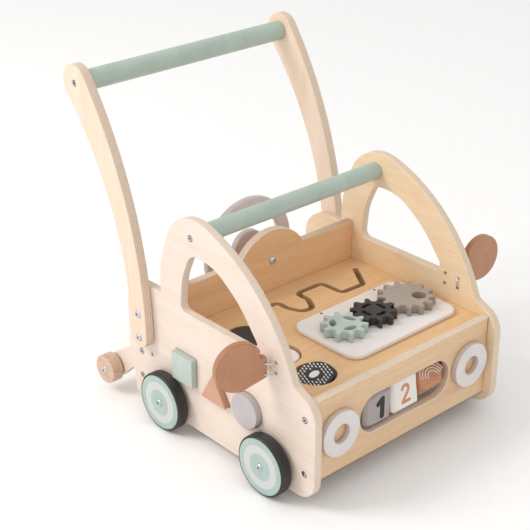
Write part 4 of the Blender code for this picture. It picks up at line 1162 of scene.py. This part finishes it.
def mirrors():
    """Paddles that swing on wire loops: a round blade, a waist and a lobe at the hinge."""
    radius, foot = 0.0330, Vector((0.0058, -0.0130))
    panel_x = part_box("side_panel_right")[1].x
    for side, sign in SIDES:
        reach, lift, heading = BLADES[side]
        back = foot - Vector((reach, lift))
        start = math.degrees(math.atan2(back.y, back.x) + math.acos(radius / back.length))
        blade = arc((reach, lift), radius, start, 150, 84)
        outline = rounded([(u, v, 0) for u, v in blade] + [(0.0170, 0.0140, 0.0030),
            (0.0115, 0.0165, 0.0030), (foot.x, 0.0150, 0.0030), (*foot, 0.0030)])
        seat = at(sign * panel_x, HINGE_Y, HINGE_Z)
        seat = seat @ Matrix.Rotation(math.radians(heading), 4, "Z") @ at(0, 0.005, 0)
        paddle = cut_sheet(f"mirror_paddle_{side}", outline, 0.0100, mirror_paint, seat @ FACING,
            (), 0.0014, 4)
        place(paddle, f"side_mirror_{side}", "terracotta_paint", f"mirror_{side}")


def mirror_wires():
    """One bent wire a side: end, upper loop, upright behind the panel, lower loop, end."""
    low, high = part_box("side_panel_right")
    inside = low.x - 0.0016
    for side, sign in SIDES:
        points = []
        for rise in (RISE, -RISE):
            z = HINGE_Z + rise
            loop = [(inside - 0.0012, HINGE_Y + LOOP, z), (high.x, HINGE_Y + LOOP, z)]
            loop += [(high.x + LOOP * math.sin(math.pi * i / 24), HINGE_Y + LOOP
                * math.cos(math.pi * i / 24), z) for i in range(1, 24)]
            loop += [(high.x, HINGE_Y - LOOP, z), (inside, HINGE_Y - LOOP, z)]
            points += loop if rise > 0 else loop[::-1]
        curve = bpy.data.curves.new(f"wire_{side}", "CURVE")
        curve.dimensions, curve.use_fill_caps = "3D", True
        curve.bevel_depth, curve.bevel_resolution = WIRE, 4
        spline = curve.splines.new("POLY")
        spline.points.add(len(points) - 1)
        for point, (x, y, z) in zip(spline.points, points):
            point.co = (sign * x, y, z, 1)
        holder = in_scene(f"wire_{side}_path", curve)
        seen = holder.evaluated_get(bpy.context.evaluated_depsgraph_get())
        mesh = bpy.data.meshes.new_from_object(seen)
        bpy.data.objects.remove(holder)
        mesh.materials.clear()
        mesh.materials.append(zinc)
        mesh.shade_smooth()
        place(in_scene(f"hinge_wire_{side}", mesh), "chassis", "zinc_steel", f"mirror_wire_{side}")


# ---------------------------------------------------------------------- sorter blocks
def sorter_blocks():
    for shape, finish, slot in (("square", pale_sage_paint, "pale_sage_paint"),
                                ("triangle", blush_paint, "blush_paint"),
                                ("round", pebble_paint, "cloud_grey_paint")):
        sheet_piece(f"sorter_block_{shape}", f"block_{shape}", block_outline(shape), finish,
                    "along side", slot, (), 0.0014, 4, body=f"sorter_{shape}")


def carried_over():
    """CAD nodes that stay as they are, with their real finish."""
    finishes = {"cube_rod": zinc, "flip_rod": zinc, "gear_pin_sage": beech,
        "gear_pin_black": beech, "gear_pin_taupe": beech}
    for name, finish in finishes.items():
        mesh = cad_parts[name].data
        mesh.materials.clear()
        mesh.materials.append(finish)


# ------------------------------------------------------------------------------- stage
def studio():
    """A pale floor, one large soft lamp from the rear left, and a bright even surround."""
    bm = bmesh.new()
    bmesh.ops.create_grid(bm, x_segments=1, y_segments=1, size=8.0)
    made, tree, shader, here = new_material("studio_floor_matt_white")
    grain = add(tree, "ShaderNodeTexNoise", {"Vector": here, "Scale": 40.0,
        "Detail": 3.0})
    tone = add(tree, "ShaderNodeValToRGB", {"Fac": grain},
        stops=[(0.3, linear("#f6f6f5")), (0.7, linear("#f8f8f8"))])
    feed(tree, shader, {"Base Color": tone, "Roughness": 0.9, "Specular IOR Level": 0.1})
    floor = to_object("studio_floor", bm, made, at(0, 0, -0.0004))
    world = bpy.data.worlds.new("studio_surround")
    world.use_nodes = True
    sky = world.node_tree.nodes["Background"]
    sky.inputs["Color"].default_value = linear("#ffffff")
    sky.inputs["Strength"].default_value = 0.86
    bpy.context.scene.world = world
    for name, spot, size, power, tint in (("key_softbox", (-2.1, 1.3, 2.3), 1.4, 46.0, "#fffaf6"),
        ("front_fill", (-1.2, -2.6, 1.6), 2.4, 7.0, "#ffffff")):
        lamp = bpy.data.lights.new(name, "AREA")
        lamp.shape, lamp.size, lamp.energy = "DISK", size, power
        lamp.color = linear(tint)[:3]
        holder = in_scene(name, lamp)
        aim = Vector((0, 0, 0.15)) - Vector(spot)
        holder.matrix_world = at(*spot) @ aim.to_track_quat("-Z", "Y").to_matrix().to_4x4()


def camera():
    view = bpy.data.cameras.new("camera")
    view.lens, view.sensor_width = 90.08, 36.0
    holder = in_scene("camera", view)
    eye, target = Vector((-1.1170, -1.1888, 1.0100)), Vector((0.0057, 0.0538, 0.1793))
    holder.matrix_world = at(*eye) @ (target - eye).to_track_quat("-Z", "Y").to_matrix().to_4x4()
    bpy.context.scene.camera = holder


side_panels()
front_panel()
back_panel()
rear_rail()
tray()
push_arms()
dowels()
side_bolts()
steering_bolt()
small_screws()
wheels()
rollers()
headlights()
number_blocks()
block_prints()
flip_discs()
gear_board()
gears()
steering_wheel()
mirrors()
mirror_wires()
sorter_blocks()
carried_over()
studio()
camera()
bpy.context.scene.view_settings.view_transform = "Standard"
